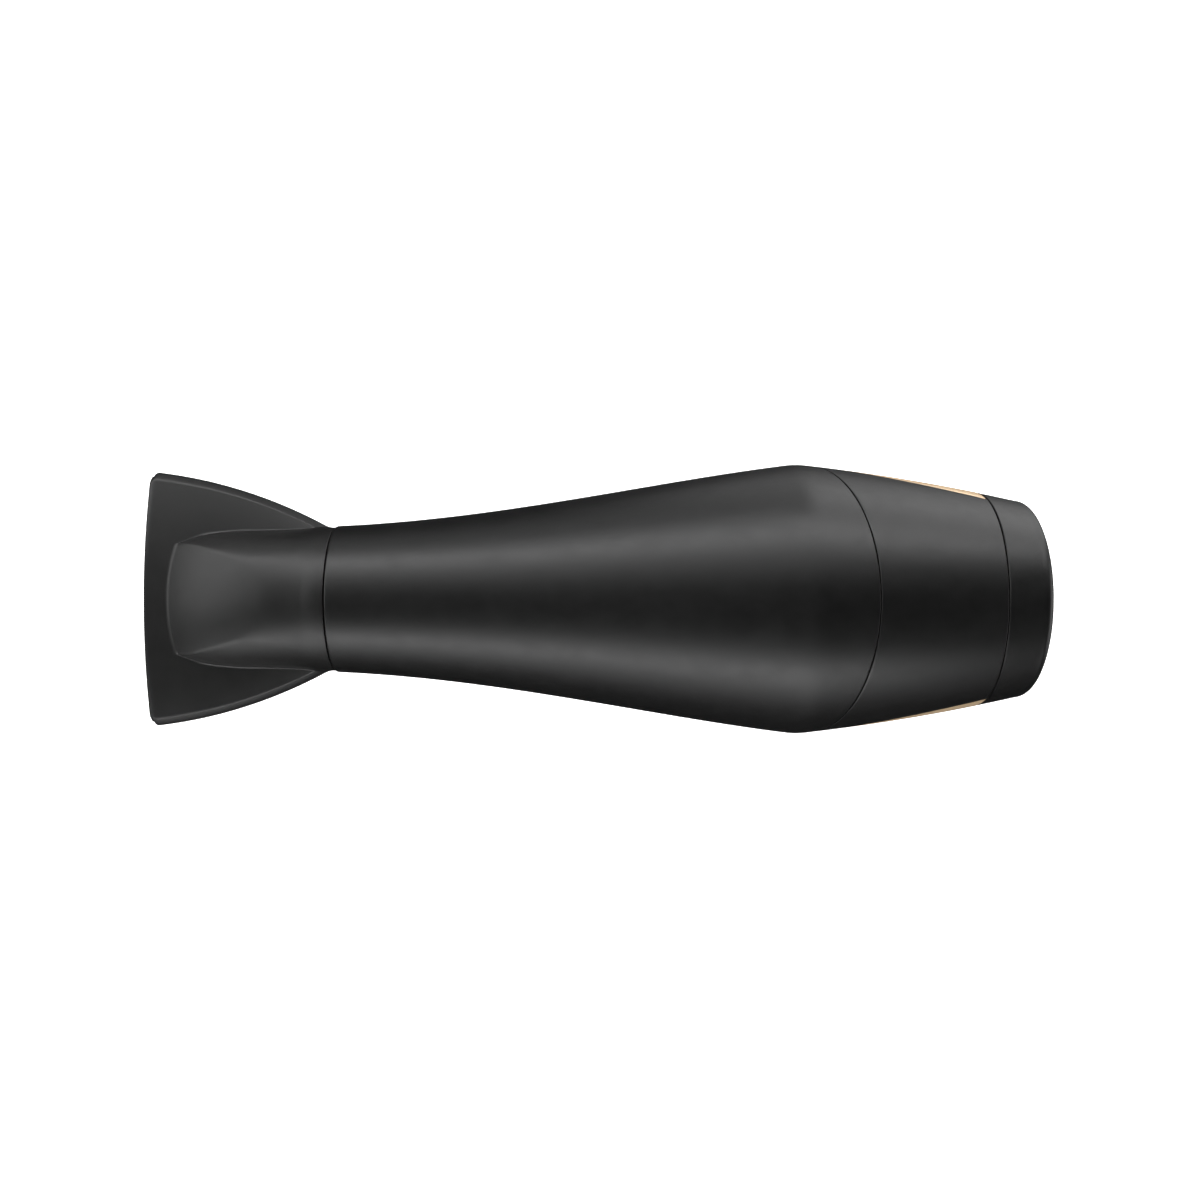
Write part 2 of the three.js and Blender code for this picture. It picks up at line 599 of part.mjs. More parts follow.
function motor() {
  const seat = BEARING_RADIUS + 0.05;
  const can = turned([
    [MOTOR_FRONT + 2, MOTOR_RADIUS - 1], [MOTOR_REAR - 5, MOTOR_RADIUS - 1], [MOTOR_REAR - 5, seat + 3],
    [MOTOR_REAR - 6, seat + 1.2], [MOTOR_REAR - 6, seat], [MOTOR_REAR - 1, seat],
    [MOTOR_REAR - 1, SHAFT_RADIUS + 1], [MOTOR_REAR, SHAFT_RADIUS + 1], [MOTOR_REAR, MOTOR_RADIUS],
    [MOTOR_FRONT + 2, MOTOR_RADIUS],
  ], MOTOR_SIDES);
  const plate = turned([
    [MOTOR_FRONT, SHAFT_RADIUS + 1], [MOTOR_FRONT, MOTOR_RADIUS - 0.4],
    [MOTOR_FRONT + 1.6, MOTOR_RADIUS - 0.4], [MOTOR_FRONT + 1.6, seat + 1.6],
    [MOTOR_FRONT + 6, seat + 1.6], [MOTOR_FRONT + 6, seat], [MOTOR_FRONT + 1, seat],
    [MOTOR_FRONT + 1, SHAFT_RADIUS + 1],
  ], MOTOR_SIDES);
  const bush = (x) => tube(x, x + 4.4, SHAFT_RADIUS + 0.06, BEARING_RADIUS - 0.02, 16);
  const brush = (low, high) => box([COMMUTATOR_X + 1, -1.5, low], [COMMUTATOR_X + 5, 1.5, high]);
  const board = tube(MOTOR_FRONT - 4, MOTOR_FRONT - 2.6, SHAFT_RADIUS + 1, MOTOR_RADIUS - 4, MOTOR_SIDES);
  const diode = box([MOTOR_FRONT - 7, -1.6, 7.5], [MOTOR_FRONT - 3.5, 1.6, 12]);
  return [
    piece("rectifier_board", board.add(around(4, diode, 45)), switchPlastic),
    piece("motor_can", can, steel),
    piece("motor_end_plate", plate, heatPlastic),
    piece("stator_ring", tube(CORE_X, CORE_X + CORE_LENGTH, 12.4, MOTOR_RADIUS - 1.3, MOTOR_SIDES), steel),
    piece("front_bearing", bush(MOTOR_FRONT + 1.3), copper),
    piece("rear_bearing", bush(MOTOR_REAR - 5.7), copper),
    piece("upper_brush", brush(5.4, 11), carbon),
    piece("lower_brush", brush(-11, -5.4), carbon),
  ];
}

const COMMUTATOR_X = MOTOR_FRONT + 7;
const CORE_X = COMMUTATOR_X + 8;
const CORE_LENGTH = MOTOR_REAR - 8 - CORE_X;

// The armature's core: poles with slots between them for the windings.
function armature() {
  const poles = 8;
  const bore = SHAFT_RADIUS + 0.3;
  const slot = box([CORE_X - 1, -1.3, 6.8], [CORE_X + CORE_LENGTH + 1, 1.3, 13]);
  const core = tube(CORE_X, CORE_X + CORE_LENGTH, bore, 11.9, 24).subtract(around(poles, slot));
  return piece("armature_core", core, steel);
}

// A blade of the fan from the hub to the tip, twisted as it goes out.
function fanBlade(root, tip) {
  const rings = [0, 0.5, 1].map((share) => {
    const radius = THREE.MathUtils.lerp(root, tip, share);
    const pitch = THREE.MathUtils.degToRad(THREE.MathUtils.lerp(48, 26, share));
    const chord = THREE.MathUtils.lerp(13, 15, share);
    const sweep = 0.18 * share;
    const thick = 0.55;
    const camber = 1.2;
    const outline = [[-0.5, 0], [0, camber], [0.5, 0]];
    const back = [...outline].reverse();
    const loop = [...outline.map(([a, b]) => [a, b + thick]), ...back.map(([a, b]) => [a, b - thick])];
    return loop.map(([along, off]) => {
      const c = along * chord;
      const x = c * Math.sin(pitch) + off * Math.cos(pitch);
      const t = (c * Math.cos(pitch) - off * Math.sin(pitch)) / radius + sweep;
      return new THREE.Vector3(FAN_FRONT + FAN_DEPTH / 2 + x, radius * Math.sin(t), radius * Math.cos(t));
    });
  });
  return loft(rings);
}

function rotor() {
  const fit = SHAFT_RADIUS + SEAM_GAP;
  const shaft = rod(MOTOR_FRONT - 1, FAN_FRONT + FAN_DEPTH + 1, SHAFT_RADIUS, 16);
  const hubRadius = MOTOR_RADIUS - 1;
  const rear = FAN_FRONT + FAN_DEPTH - 1;
  const hub = turned([
    [FAN_FRONT, hubRadius - 1.8], [rear - 2, hubRadius - 1.8], [rear - 2, fit + 3], [FAN_FRONT + 3, fit + 3],
    [FAN_FRONT + 3, fit], [rear, fit], [rear, hubRadius - 3], [rear - 3, hubRadius], [FAN_FRONT, hubRadius],
  ], 24);
  const blades = around(FAN_BLADES, fanBlade(hubRadius - 0.9, RING_BORE - 1.2));
  const clip = tube(rear + 0.3, rear + 1.3, fit, 4.5, 16);
  return [
    piece("motor_shaft", shaft, steel),
    armature(),
    piece("commutator", tube(COMMUTATOR_X, COMMUTATOR_X + 6, fit, 5, 24), copper),
    piece("fan", hub.add(blades), fanPlastic),
    piece("fan_clip", clip, steel),
  ];
}

// ---------------------------------------------------------------- handle, in its own frame
const SWITCH_PITCH = ROCKER_LENGTH + 5; // between the two rockers' pins
const HEAT_S = NECK_END + 8 + ROCKER_LENGTH / 2;
const SPEED_S = HEAT_S + SWITCH_PITCH;
const BEZEL_HALF = ROCKER_WIDTH / 2 + 2.4;
const BEZEL_TOP = HEAT_S - ROCKER_LENGTH / 2 - 3;
const BEZEL_BOTTOM = SPEED_S + ROCKER_LENGTH / 2 + 3;
const HANDLE_BACK = HANDLE_DEPTH / 2;
const BUTTON_S = NECK_END + 10 + BUTTON_LENGTH / 2;
const PIVOT_DEPTH = 3.4; // of the rockers' pins, in from the grip's face
const PIVOT_X = HANDLE_BACK + 0.6 - PIVOT_DEPTH;
const PIN_RADIUS = 1.2;
const ROCKER_HEIGHT = PIVOT_DEPTH + 2; // of the rockers' ends over their pins
const ROCKER_SWING = THREE.MathUtils.degToRad(9);
const WINDOW_HALF =
  (ROCKER_LENGTH / 2) * Math.cos(ROCKER_SWING) + ROCKER_HEIGHT * Math.sin(ROCKER_SWING) + SLIDE_GAP;
const SCREW_PLACES = [GRIP_END - 40, GRIP_END - 12];
const SCREW_RADIUS = 1.5;
const SCREW_HEAD = 2.9;
const GRIP_BOSS = SCREW_HEAD + 1.3;

// A plate with rounded ends on a face of the handle, from x0 to x1, centred down the handle at s.
function stadium(x0, x1, halfWidth, s0, s1) {
  const radius = halfWidth * 0.55;
  const shape = new THREE.Shape();
  const [w, h] = [halfWidth, (s1 - s0) / 2];
  shape.moveTo(-w + radius, -h);
  shape.lineTo(w - radius, -h);
  shape.quadraticCurveTo(w, -h, w, -h + radius);
  shape.lineTo(w, h - radius);
  shape.quadraticCurveTo(w, h, w - radius, h);
  shape.lineTo(-w + radius, h);
  shape.quadraticCurveTo(-w, h, -w, h - radius);
  shape.lineTo(-w, -h + radius);
  shape.quadraticCurveTo(-w, -h, -w + radius, -h);
  const plate = new THREE.ExtrudeGeometry(shape, { depth: x1 - x0, bevelEnabled: false, curveSegments: 4 });
  return solid(plate.rotateX(Math.PI / 2).rotateZ(Math.PI / 2).translate(x0, 0, -(s0 + s1) / 2));
}

const crosswise = (made) => made.rotate([0, 0, 90]); // from along X to along Y

function rocker(name, s) {
  const half = ROCKER_LENGTH / 2;
  const face = new THREE.Shape();
  face.moveTo(-half, ROCKER_HEIGHT);
  face.quadraticCurveTo(0, PIVOT_DEPTH - 0.8, half, ROCKER_HEIGHT);
  face.lineTo(half - 0.6, -0.6);
  face.lineTo(2.4, -2.6);
  face.lineTo(-2.4, -2.6);
  face.lineTo(-half + 0.6, -0.6);
  const settings = { depth: ROCKER_WIDTH, bevelEnabled: false, curveSegments: 6 };
  const body = new THREE.ExtrudeGeometry(face, settings);
  const made = solid(body.translate(0, 0, -ROCKER_WIDTH / 2).rotateX(Math.PI / 2).rotateY(Math.PI / 2));
  const pin = crosswise(rod(-ROCKER_WIDTH / 2 - 1.2, ROCKER_WIDTH / 2 + 1.2, PIN_RADIUS, 16));
  return piece(name, made.add(pin).translate([PIVOT_X, 0, -s]), switchPlastic);
}

// The cool-shot button and its switch, from the front of the handle inwards, and the room that they leave.
const BUTTON_SEAT = -HANDLE_BACK + 4.6;
const COOL_SWITCH_X = BUTTON_SEAT + BUTTON_TRAVEL + 4.4;
const COOL_SWITCH_DEPTH = 4;
const TAG_LENGTH = 4;
const TAG_ROOM = 1.1;
const CASE_TOP = PIVOT_X - 4.6;
const CASE_BOTTOM = COOL_SWITCH_X + COOL_SWITCH_DEPTH + TAG_ROOM + TAG_LENGTH;

// A switch's case behind its rocker, with three terminals.
function switchBody(name, s) {
  const half = ROCKER_LENGTH / 2 - 1;
  const body = box([CASE_BOTTOM, -ROCKER_WIDTH / 2, -s - half], [CASE_TOP, ROCKER_WIDTH / 2, -s + half]);
  const tag = (z) => box([CASE_BOTTOM - TAG_LENGTH, -1.6, z - 0.4], [CASE_BOTTOM + 0.5, 1.6, z + 0.4]);
  return piece(name, join(body, tag(-s - 5), tag(-s), tag(-s + 5)), switchPlastic);
}

function bezel() {
  const plate = stadium(HANDLE_BACK - 5.4, HANDLE_BACK + 0.9, BEZEL_HALF, BEZEL_TOP, BEZEL_BOTTOM);
  const wide = ROCKER_WIDTH / 2 + SLIDE_GAP;
  const holes = [HEAT_S, SPEED_S].map((s) => {
    const window = box([HANDLE_BACK - 8, -wide, -s - WINDOW_HALF], [HANDLE_BACK + 4, wide, -s + WINDOW_HALF]);
    const pin = crosswise(rod(-wide - 1.3, wide + 1.3, PIN_RADIUS + 0.1, 16)).translate([PIVOT_X, 0, -s]);
    return window.add(pin);
  });
  return piece("switch_bezel", plate.subtract(join(...holes)), capBlack);
}

// Half of the grip, side +1 for the back and -1 for the front.
function gripHalf(side) {
  const top = NECK_END + SEAM_GAP;
  const shell = handleBody(top, GRIP_END, 6).subtract(handleBody(top - 1, GRIP_END + 1, 6, WALL));
  const keep = box(
    side > 0 ? [SEAM_GAP / 2, -60, -GRIP_END - 5] : [-80, -60, -GRIP_END - 5],
    side > 0 ? [80, 60, 0] : [-SEAM_GAP / 2, 60, 0],
  );
  const wall = side * (HANDLE_DEPTH / 2 - WALL / 2);
  const bosses = SCREW_PLACES.map((s) => {
    const post = rod(Math.min(side * SEAM_GAP / 2, wall), Math.max(side * SEAM_GAP / 2, wall), GRIP_BOSS, 16);
    return post.translate([0, 0, -s]);
  });
  return shell.intersect(keep).add(join(...bosses));
}

function gripFront() {
  const window = stadium(-HANDLE_BACK - 6, -HANDLE_BACK + 6, BUTTON_WIDTH / 2 + SLIDE_GAP,
    BUTTON_S - BUTTON_LENGTH / 2 - SLIDE_GAP, BUTTON_S + BUTTON_LENGTH / 2 + SLIDE_GAP);
  const bores = SCREW_PLACES.map((s) => {
    const hole = rod(-HANDLE_BACK - 6, 1, SCREW_RADIUS + SEAM_GAP, 12);
    const recess = rod(-HANDLE_BACK - 6, -HANDLE_BACK + 2.6, SCREW_HEAD + SEAM_GAP, 16);
    return hole.add(recess).translate([0, 0, -s]);
  });
  return piece("grip_front", gripHalf(-1).subtract(window).subtract(join(...bores)), satinBlack);
}

function gripBack() {
  const window = stadium(HANDLE_BACK - 8, HANDLE_BACK + 6, BEZEL_HALF + SEAM_GAP, BEZEL_TOP - SEAM_GAP,
    BEZEL_BOTTOM + SEAM_GAP);
  const bore = rod(-1, HANDLE_BACK - 5, SCREW_RADIUS + SEAM_GAP, 12);
  const bores = SCREW_PLACES.map((s) => bore.translate([0, 0, -s]));
  return piece("grip_back", gripHalf(1).subtract(window).subtract(join(...bores)), satinBlack);
}

function gripScrew(name, s) {
  const head = -HANDLE_BACK + 2.4;
  const shank = rod(head - 0.1, HANDLE_BACK - 6, SCREW_RADIUS, 12);
  const cap = rod(head - 2, head, SCREW_HEAD, 20);
  const slot = box([head - 3, -0.4, -1.8], [head - 1, 0.4, 1.8]);
  const made = cap.add(shank).subtract(slot).subtract(slot.rotate([90, 0, 0]));
  return piece(name, made.translate([0, 0, -s]), steel);
}

function coolShot() {
  const face = -HANDLE_BACK - 1.6;
  const cap = stadium(face, -HANDLE_BACK + 4.4, BUTTON_WIDTH / 2, BUTTON_S - BUTTON_LENGTH / 2,
    BUTTON_S + BUTTON_LENGTH / 2);
  const flange = stadium(BUTTON_SEAT - 1.2, BUTTON_SEAT, BUTTON_WIDTH / 2 + 1.4,
    BUTTON_S - BUTTON_LENGTH / 2 - 1.4, BUTTON_S + BUTTON_LENGTH / 2 + 1.4);
  const turns = 3;
  const each = 8;
  const spring = Array.from({ length: turns * each + 1 }, (_, i) => {
    const angle = (2 * Math.PI * i) / each;
    const x = THREE.MathUtils.lerp(BUTTON_SEAT + 0.7, COOL_SWITCH_X - 0.7, i / (turns * each));
    return [x, 2.2 * Math.cos(angle), 2.2 * Math.sin(angle) - BUTTON_S];
  });
  const rear = COOL_SWITCH_X + COOL_SWITCH_DEPTH;
  const body = box([COOL_SWITCH_X, -4, -BUTTON_S - 6.5], [rear, 4, -BUTTON_S + 6.5]);
  return [
    piece("cool_shot_button", cap.add(flange), switchPlastic),
    piece("cool_shot_spring", wire(spring, 0.3, turns * each, 5), steel),
    piece("cool_shot_switch", body, switchPlastic),
  ];
}

const GLAND_OFFSET = -3.5; // forwards of the handle's centreline
const GLAND_RADIUS = CORD_RADIUS + 2.4;
const GLAND_STAND = 3.2; // how far the gland stands out of the foot
const FOOT_FLOOR = 2.4; // thickness of the foot
const LOOP_WIRE = 1.4;
const LOOP_X = 10.5;
const LOOP_FEET = [-6, 6];

// A bar down the handle from s0 to s1, standing at x and y.
const downRod = (s0, s1, radius, sides, x, y = 0) =>
  rod(s0, s1, radius, sides).rotate([0, 90, 0]).translate([x, y, 0]);

function footCap() {
  const top = GRIP_END + SEAM_GAP;
  const shell = loft([
    handleRing(top),
    handleRing(HANDLE_LENGTH - 3),
    handleRing(HANDLE_LENGTH - 0.9, 0.7),
    handleRing(HANDLE_LENGTH, 2.6),
  ]);
  const hollow = handleBody(top - 1, HANDLE_LENGTH - FOOT_FLOOR, 1, WALL + 0.8);
  const hole = downRod(HANDLE_LENGTH - 8, HANDLE_LENGTH + 1, GLAND_RADIUS + SEAM_GAP, 20, GLAND_OFFSET);
  const sockets = LOOP_FEET.map((y) => {
    const socket = [LOOP_WIRE + SEAM_GAP, 12, LOOP_X, y];
    return downRod(HANDLE_LENGTH - 5, HANDLE_LENGTH + 1, ...socket);
  });
  return piece("foot_cap", shell.subtract(hollow).subtract(join(hole, ...sockets)), capBlack);
}

// The soft bush that the mains lead comes in through.
function cordGland() {
  const inside = HANDLE_LENGTH - FOOT_FLOOR - SEAM_GAP;
  const flange = downRod(inside - 1.8, inside, GLAND_RADIUS + 1.5, 20, GLAND_OFFSET);
  const neck = downRod(inside - 0.5, HANDLE_LENGTH + GLAND_STAND, GLAND_RADIUS, 20, GLAND_OFFSET);
  const bore = downRod(inside - 3, HANDLE_LENGTH + GLAND_STAND + 1, CORD_RADIUS, 20, GLAND_OFFSET);
  return piece("cord_gland", flange.add(neck).subtract(bore), rubberBlack);
}

// A moulded loop to hang the dryer by, with both feet plugged into the foot.
function hangingLoop() {
  const top = HANDLE_LENGTH - FOOT_FLOOR - 1;
  const [left, right] = LOOP_FEET;
  const drop = HANDLE_LENGTH + 12;
  const path = [
    [left, top], [left, HANDLE_LENGTH + 2], [left - 1.5, drop - 4], [left + 2.5, drop + 1], [0, drop + 2.4],
    [right - 2.5, drop + 1], [right + 1.5, drop - 4], [right, HANDLE_LENGTH + 2], [right, top],
  ];
  return piece("hanging_loop", wire(path.map(([y, s]) => [LOOP_X, y, -s]), LOOP_WIRE, 24, 6), rubberBlack);
}

function capacitor() {
  const s = (SCREW_PLACES[0] + SCREW_PLACES[1]) / 2;
  return piece("suppression_capacitor", box([-6, -6, -s - 7], [1.5, 6, -s + 7]), mica);
}

// Leads from the switches up through the neck to the heater and the motor, in the part's frame.
function leads() {
  const inHandle = (x, y, s) => new THREE.Vector3(x, y, -s).applyMatrix4(handle.matrix).toArray();
  const roof = RIDGE_RADIUS - 8;
  const motorLead = wire([
    inHandle(-2.6, 7, SPEED_S + 4), inHandle(-2, 7.4, SPEED_S - 8), inHandle(-2, 7.4, HEAT_S - 6),
    inHandle(-2, 6, NECK_END), inHandle(-1, 5, roof), [MOTOR_FRONT - 8, 5, -SHIELD_RADIUS - 4],
    [MOTOR_FRONT - 9, 4, -12],
  ], 1, 20, 6);
  const heaterEnd = HEATER_X + HEATER_LENGTH;
  const heaterLead = wire([
    inHandle(-2.6, -7, SPEED_S + 4), inHandle(-2, -7.4, SPEED_S - 8), inHandle(-2, -7.4, HEAT_S - 6),
    inHandle(-4, -6, NECK_END), inHandle(-7, -5, roof), [heaterEnd + 8, -4, -SHIELD_RADIUS - 3],
    [heaterEnd + 6, -5, -9],
  ], 1, 20, 6);
  return [piece("motor_lead", motorLead, blueLead), piece("heater_lead", heaterLead, brownLead)];
}

// ---------------------------------------------------------------- the whole dryer
handle.add(
  gripFront(),
  gripBack(),
  bezel(),
  rocker("heat_rocker", HEAT_S),
  rocker("speed_rocker", SPEED_S),
  switchBody("heat_switch", HEAT_S),
  switchBody("speed_switch", SPEED_S),
  ...coolShot(),
  gripScrew("upper_grip_screw", SCREW_PLACES[0]),
  gripScrew("lower_grip_screw", SCREW_PLACES[1]),
  footCap(),
  cordGland(),
  hangingLoop(),
  capacitor(),
);

const dryer = new THREE.Group();
dryer.add(
  nozzleShell(),
  snapRing(),
  outletSleeve(),
  outletGrille(),
  frontHousing(),
  rearHousing(),
  housingScrew("left_housing_screw", -1),
  housingScrew("right_housing_screw", 1),
  sideTrim("left_side_trim", -1),
  sideTrim("right_side_trim", 1),
  rearCap(),
  ...lintFilter(),
  ...heater(),
  guideVanes(),
  ...motor(),
  ...rotor(),
  ...leads(),
  handle,
);

export default dryer;
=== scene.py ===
"""A hair dryer's visual model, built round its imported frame.

Shapes are worked out in millimetres in the part's own frame: the origin is the centre of the outlet, +X runs
to the intake, +Z points away from the handle and +Y is the dryer's right side seen from above. They become
metres where a mesh is made.
"""

from __future__ import annotations

import json
import logging
import math
from dataclasses import dataclass, field
from enum import Enum
from typing import Callable, Optional, Sequence, Union

import bpy
import numpy as np
from mathutils import Matrix

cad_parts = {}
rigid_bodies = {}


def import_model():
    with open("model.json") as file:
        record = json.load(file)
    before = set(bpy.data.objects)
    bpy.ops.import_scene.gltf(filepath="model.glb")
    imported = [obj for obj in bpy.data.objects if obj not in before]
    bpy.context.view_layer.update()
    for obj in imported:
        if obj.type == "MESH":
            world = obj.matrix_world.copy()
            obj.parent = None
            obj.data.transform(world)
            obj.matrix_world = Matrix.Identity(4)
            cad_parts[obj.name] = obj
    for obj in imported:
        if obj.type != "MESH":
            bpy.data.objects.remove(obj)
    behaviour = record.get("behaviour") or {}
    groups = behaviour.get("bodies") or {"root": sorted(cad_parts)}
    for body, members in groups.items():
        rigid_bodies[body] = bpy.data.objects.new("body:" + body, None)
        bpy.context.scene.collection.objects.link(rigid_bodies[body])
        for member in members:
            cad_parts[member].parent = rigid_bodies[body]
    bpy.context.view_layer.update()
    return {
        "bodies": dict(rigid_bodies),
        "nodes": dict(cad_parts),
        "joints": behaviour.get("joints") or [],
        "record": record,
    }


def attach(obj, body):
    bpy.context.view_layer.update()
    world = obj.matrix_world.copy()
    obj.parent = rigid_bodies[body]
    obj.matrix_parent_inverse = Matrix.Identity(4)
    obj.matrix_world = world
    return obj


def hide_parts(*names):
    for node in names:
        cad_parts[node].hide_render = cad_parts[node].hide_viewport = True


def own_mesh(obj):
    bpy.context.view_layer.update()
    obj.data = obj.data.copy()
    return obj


LOG = logging.getLogger("hair_dryer")
MM = 0.001
QUARTER = math.pi / 2
TURN = 2 * math.pi
CREASE_ANGLE = 38.0  # degrees past which an edge is shaded as a crease
EDGE_SHARE = 0.42  # the most of an edge that one corner's rounding takes
FLAT_STEP = 0.25  # how far beyond a rounding its flat face gets a point, as a share of the rounding
TUBE_END = ((0.0, 0.45), (0.25, 0.8), (0.6, 0.95))  # rows round a tube's end: how far in and how wide
AXIS_GAP = 0.05  # how far from its axis a turned profile ends, where a cap closes it
BLOCK_WALL = (0.0, 0.02, 0.9)  # rows up a block's wall, as shares of its height
BLOCK_TOP = (0.85, 0.6, 0.35, 0.12)  # rows over a block's top, as shares of its outline
Number = Union[float, np.ndarray]
Curve = Sequence[tuple[float, float]]


class Body(Enum):
    """The frame's bodies that pieces ride on."""

    DRYER = "dryer"
    SNAP_RING = "snap_ring"
    NOZZLE = "nozzle"
    INTAKE_CAP = "intake_cap"
    HEAT_KEY = "heat_key"
    SPEED_KEY = "speed_key"
    COOL_KEY = "cool_key"
    ROTOR = "rotor"


# ---------------- Shapes as arrays


def smoothstep(value: Number, low: float, high: float) -> np.ndarray:
    """Rise from 0 at low to 1 at high with level ends: 3t^2 - 2t^3 of the clipped share t.

    Args:
        value: Where to read the curve.
        low: Where the rise starts.
        high: Where the rise ends.

    Returns:
        The share at each value.
    """
    t = np.clip((np.asarray(value, float) - low) / (high - low), 0.0, 1.0)
    return t * t * (3.0 - 2.0 * t)


def smooth_lower(a: Number, b: Number, reach: Number) -> np.ndarray:
    """Lower of two heights with a rounded crease: the mix of both less reach h(1 - h).

    Args:
        a: First height.
        b: Second height.
        reach: Height difference over which the crease is rounded.

    Returns:
        The joined height.
    """
    h = np.clip(0.5 + 0.5 * (np.asarray(b) - a) / reach, 0.0, 1.0)
    return b + (a - b) * h - reach * h * (1.0 - h)


def smooth_upper(a: Number, b: Number, reach: Number) -> np.ndarray:
    """Upper of two heights with a filleted foot: smooth_lower turned over.

    Args:
        a: First height.
        b: Second height.
        reach: Height difference over which the foot is filleted.

    Returns:
        The joined height.
    """
    return -smooth_lower(-np.asarray(a), -np.asarray(b), reach)


def flow(x: Number, curve: Curve) -> np.ndarray:
    """A smooth curve through points: a cubic between each two, with slopes taken across their neighbours.

    Args:
        x: Where to read the curve; it stays level beyond both ends.
        curve: Its points as (position, value) pairs, with the positions in rising order.

    Returns:
        The values at x.
    """
    k, v = np.asarray(curve, float).T
    slope = np.gradient(v, k)
    x = np.clip(np.asarray(x, float), k[0], k[-1])
    i = np.clip(np.searchsorted(k, x, side="right") - 1, 0, len(k) - 2)
    span = k[i + 1] - k[i]
    t = (x - k[i]) / span
    start = (1 + 2 * t) * (1 - t) ** 2 * v[i] + t * (1 - t) ** 2 * span * slope[i]
    return start + t**2 * (3 - 2 * t) * v[i + 1] + t**2 * (t - 1) * span * slope[i + 1]


def bezier(points: Sequence[Sequence[float]], count: int) -> np.ndarray:
    """Points of a Bezier curve: the sum of its control points under Bernstein weights.

    Args:
        points: Three or four control points of any dimension.
        count: Number of points made.

    Returns:
        An array of count rows.
    """
    p = np.asarray(points, float)
    degree = len(p) - 1
    t = np.linspace(0.0, 1.0, count)[:, None]
    k = np.arange(degree + 1)
    choose = np.array([math.comb(degree, int(i)) for i in k])
    weights = choose * t**k * (1.0 - t) ** (degree - k)
    return weights @ p


def eased(corners: Sequence[Sequence[float]], radius: Union[float, Sequence[float]], closed: bool = True,
          steps: int = 5) -> np.ndarray:
    """A flat outline with its corners rounded.

    Each corner becomes a quadratic Bezier arc between points a radius away along both edges, with one more
    point on each edge just beyond, which keeps the flat faces flat when they are shaded smoothly.

    Args:
        corners: The outline's corners in order.
        radius: Rounding for all corners or for each, held back where an edge is short.
        closed: Whether the last corner joins the first; otherwise both ends stay as they are.
        steps: Points on each arc.

    Returns:
        The rounded outline.
    """
    p = np.asarray(corners, float)
    before, after = np.roll(p, 1, 0) - p, np.roll(p, -1, 0) - p
    length_before = np.linalg.norm(before, axis=1)
    length_after = np.linalg.norm(after, axis=1)
    room = EDGE_SHARE * np.minimum(length_before, length_after)
    reach = np.minimum(np.broadcast_to(radius, len(p)), room)[:, None]
    before, after = before / length_before[:, None], after / length_after[:, None]
    t = np.linspace(0.0, 1.0, steps)[None, :, None]
    start, end = (p + before * reach)[:, None], (p + after * reach)[:, None]
    arc = (1 - t) ** 2 * start + 2 * t * (1 - t) * p[:, None] + t**2 * end
    before_arc, after_arc = start + FLAT_STEP * (start - p[:, None]), end + FLAT_STEP * (end - p[:, None])
    rows = np.concatenate([before_arc, arc, after_arc], axis=1)
    if closed:
        return rows.reshape(-1, p.shape[1])
    return np.concatenate([p[:1], rows[1:-1].reshape(-1, p.shape[1]), p[-1:]])


@dataclass
class Place:
    """A local frame: an origin and three axes that put a shape made on its own into the part's frame."""

    origin: tuple[float, float, float] = (0.0, 0.0, 0.0)
    first: tuple[float, float, float] = (1.0, 0.0, 0.0)
    second: tuple[float, float, float] = (0.0, 1.0, 0.0)
    third: tuple[float, float, float] = (0.0, 0.0, 1.0)

    def put(self, points: np.ndarray) -> np.ndarray:
        """Carry points from this frame to the part's: the origin plus each coordinate times its axis."""
        axes = np.array([self.first, self.second, self.third], float)
        return np.asarray(self.origin, float) + points @ axes


WORLD = Place()


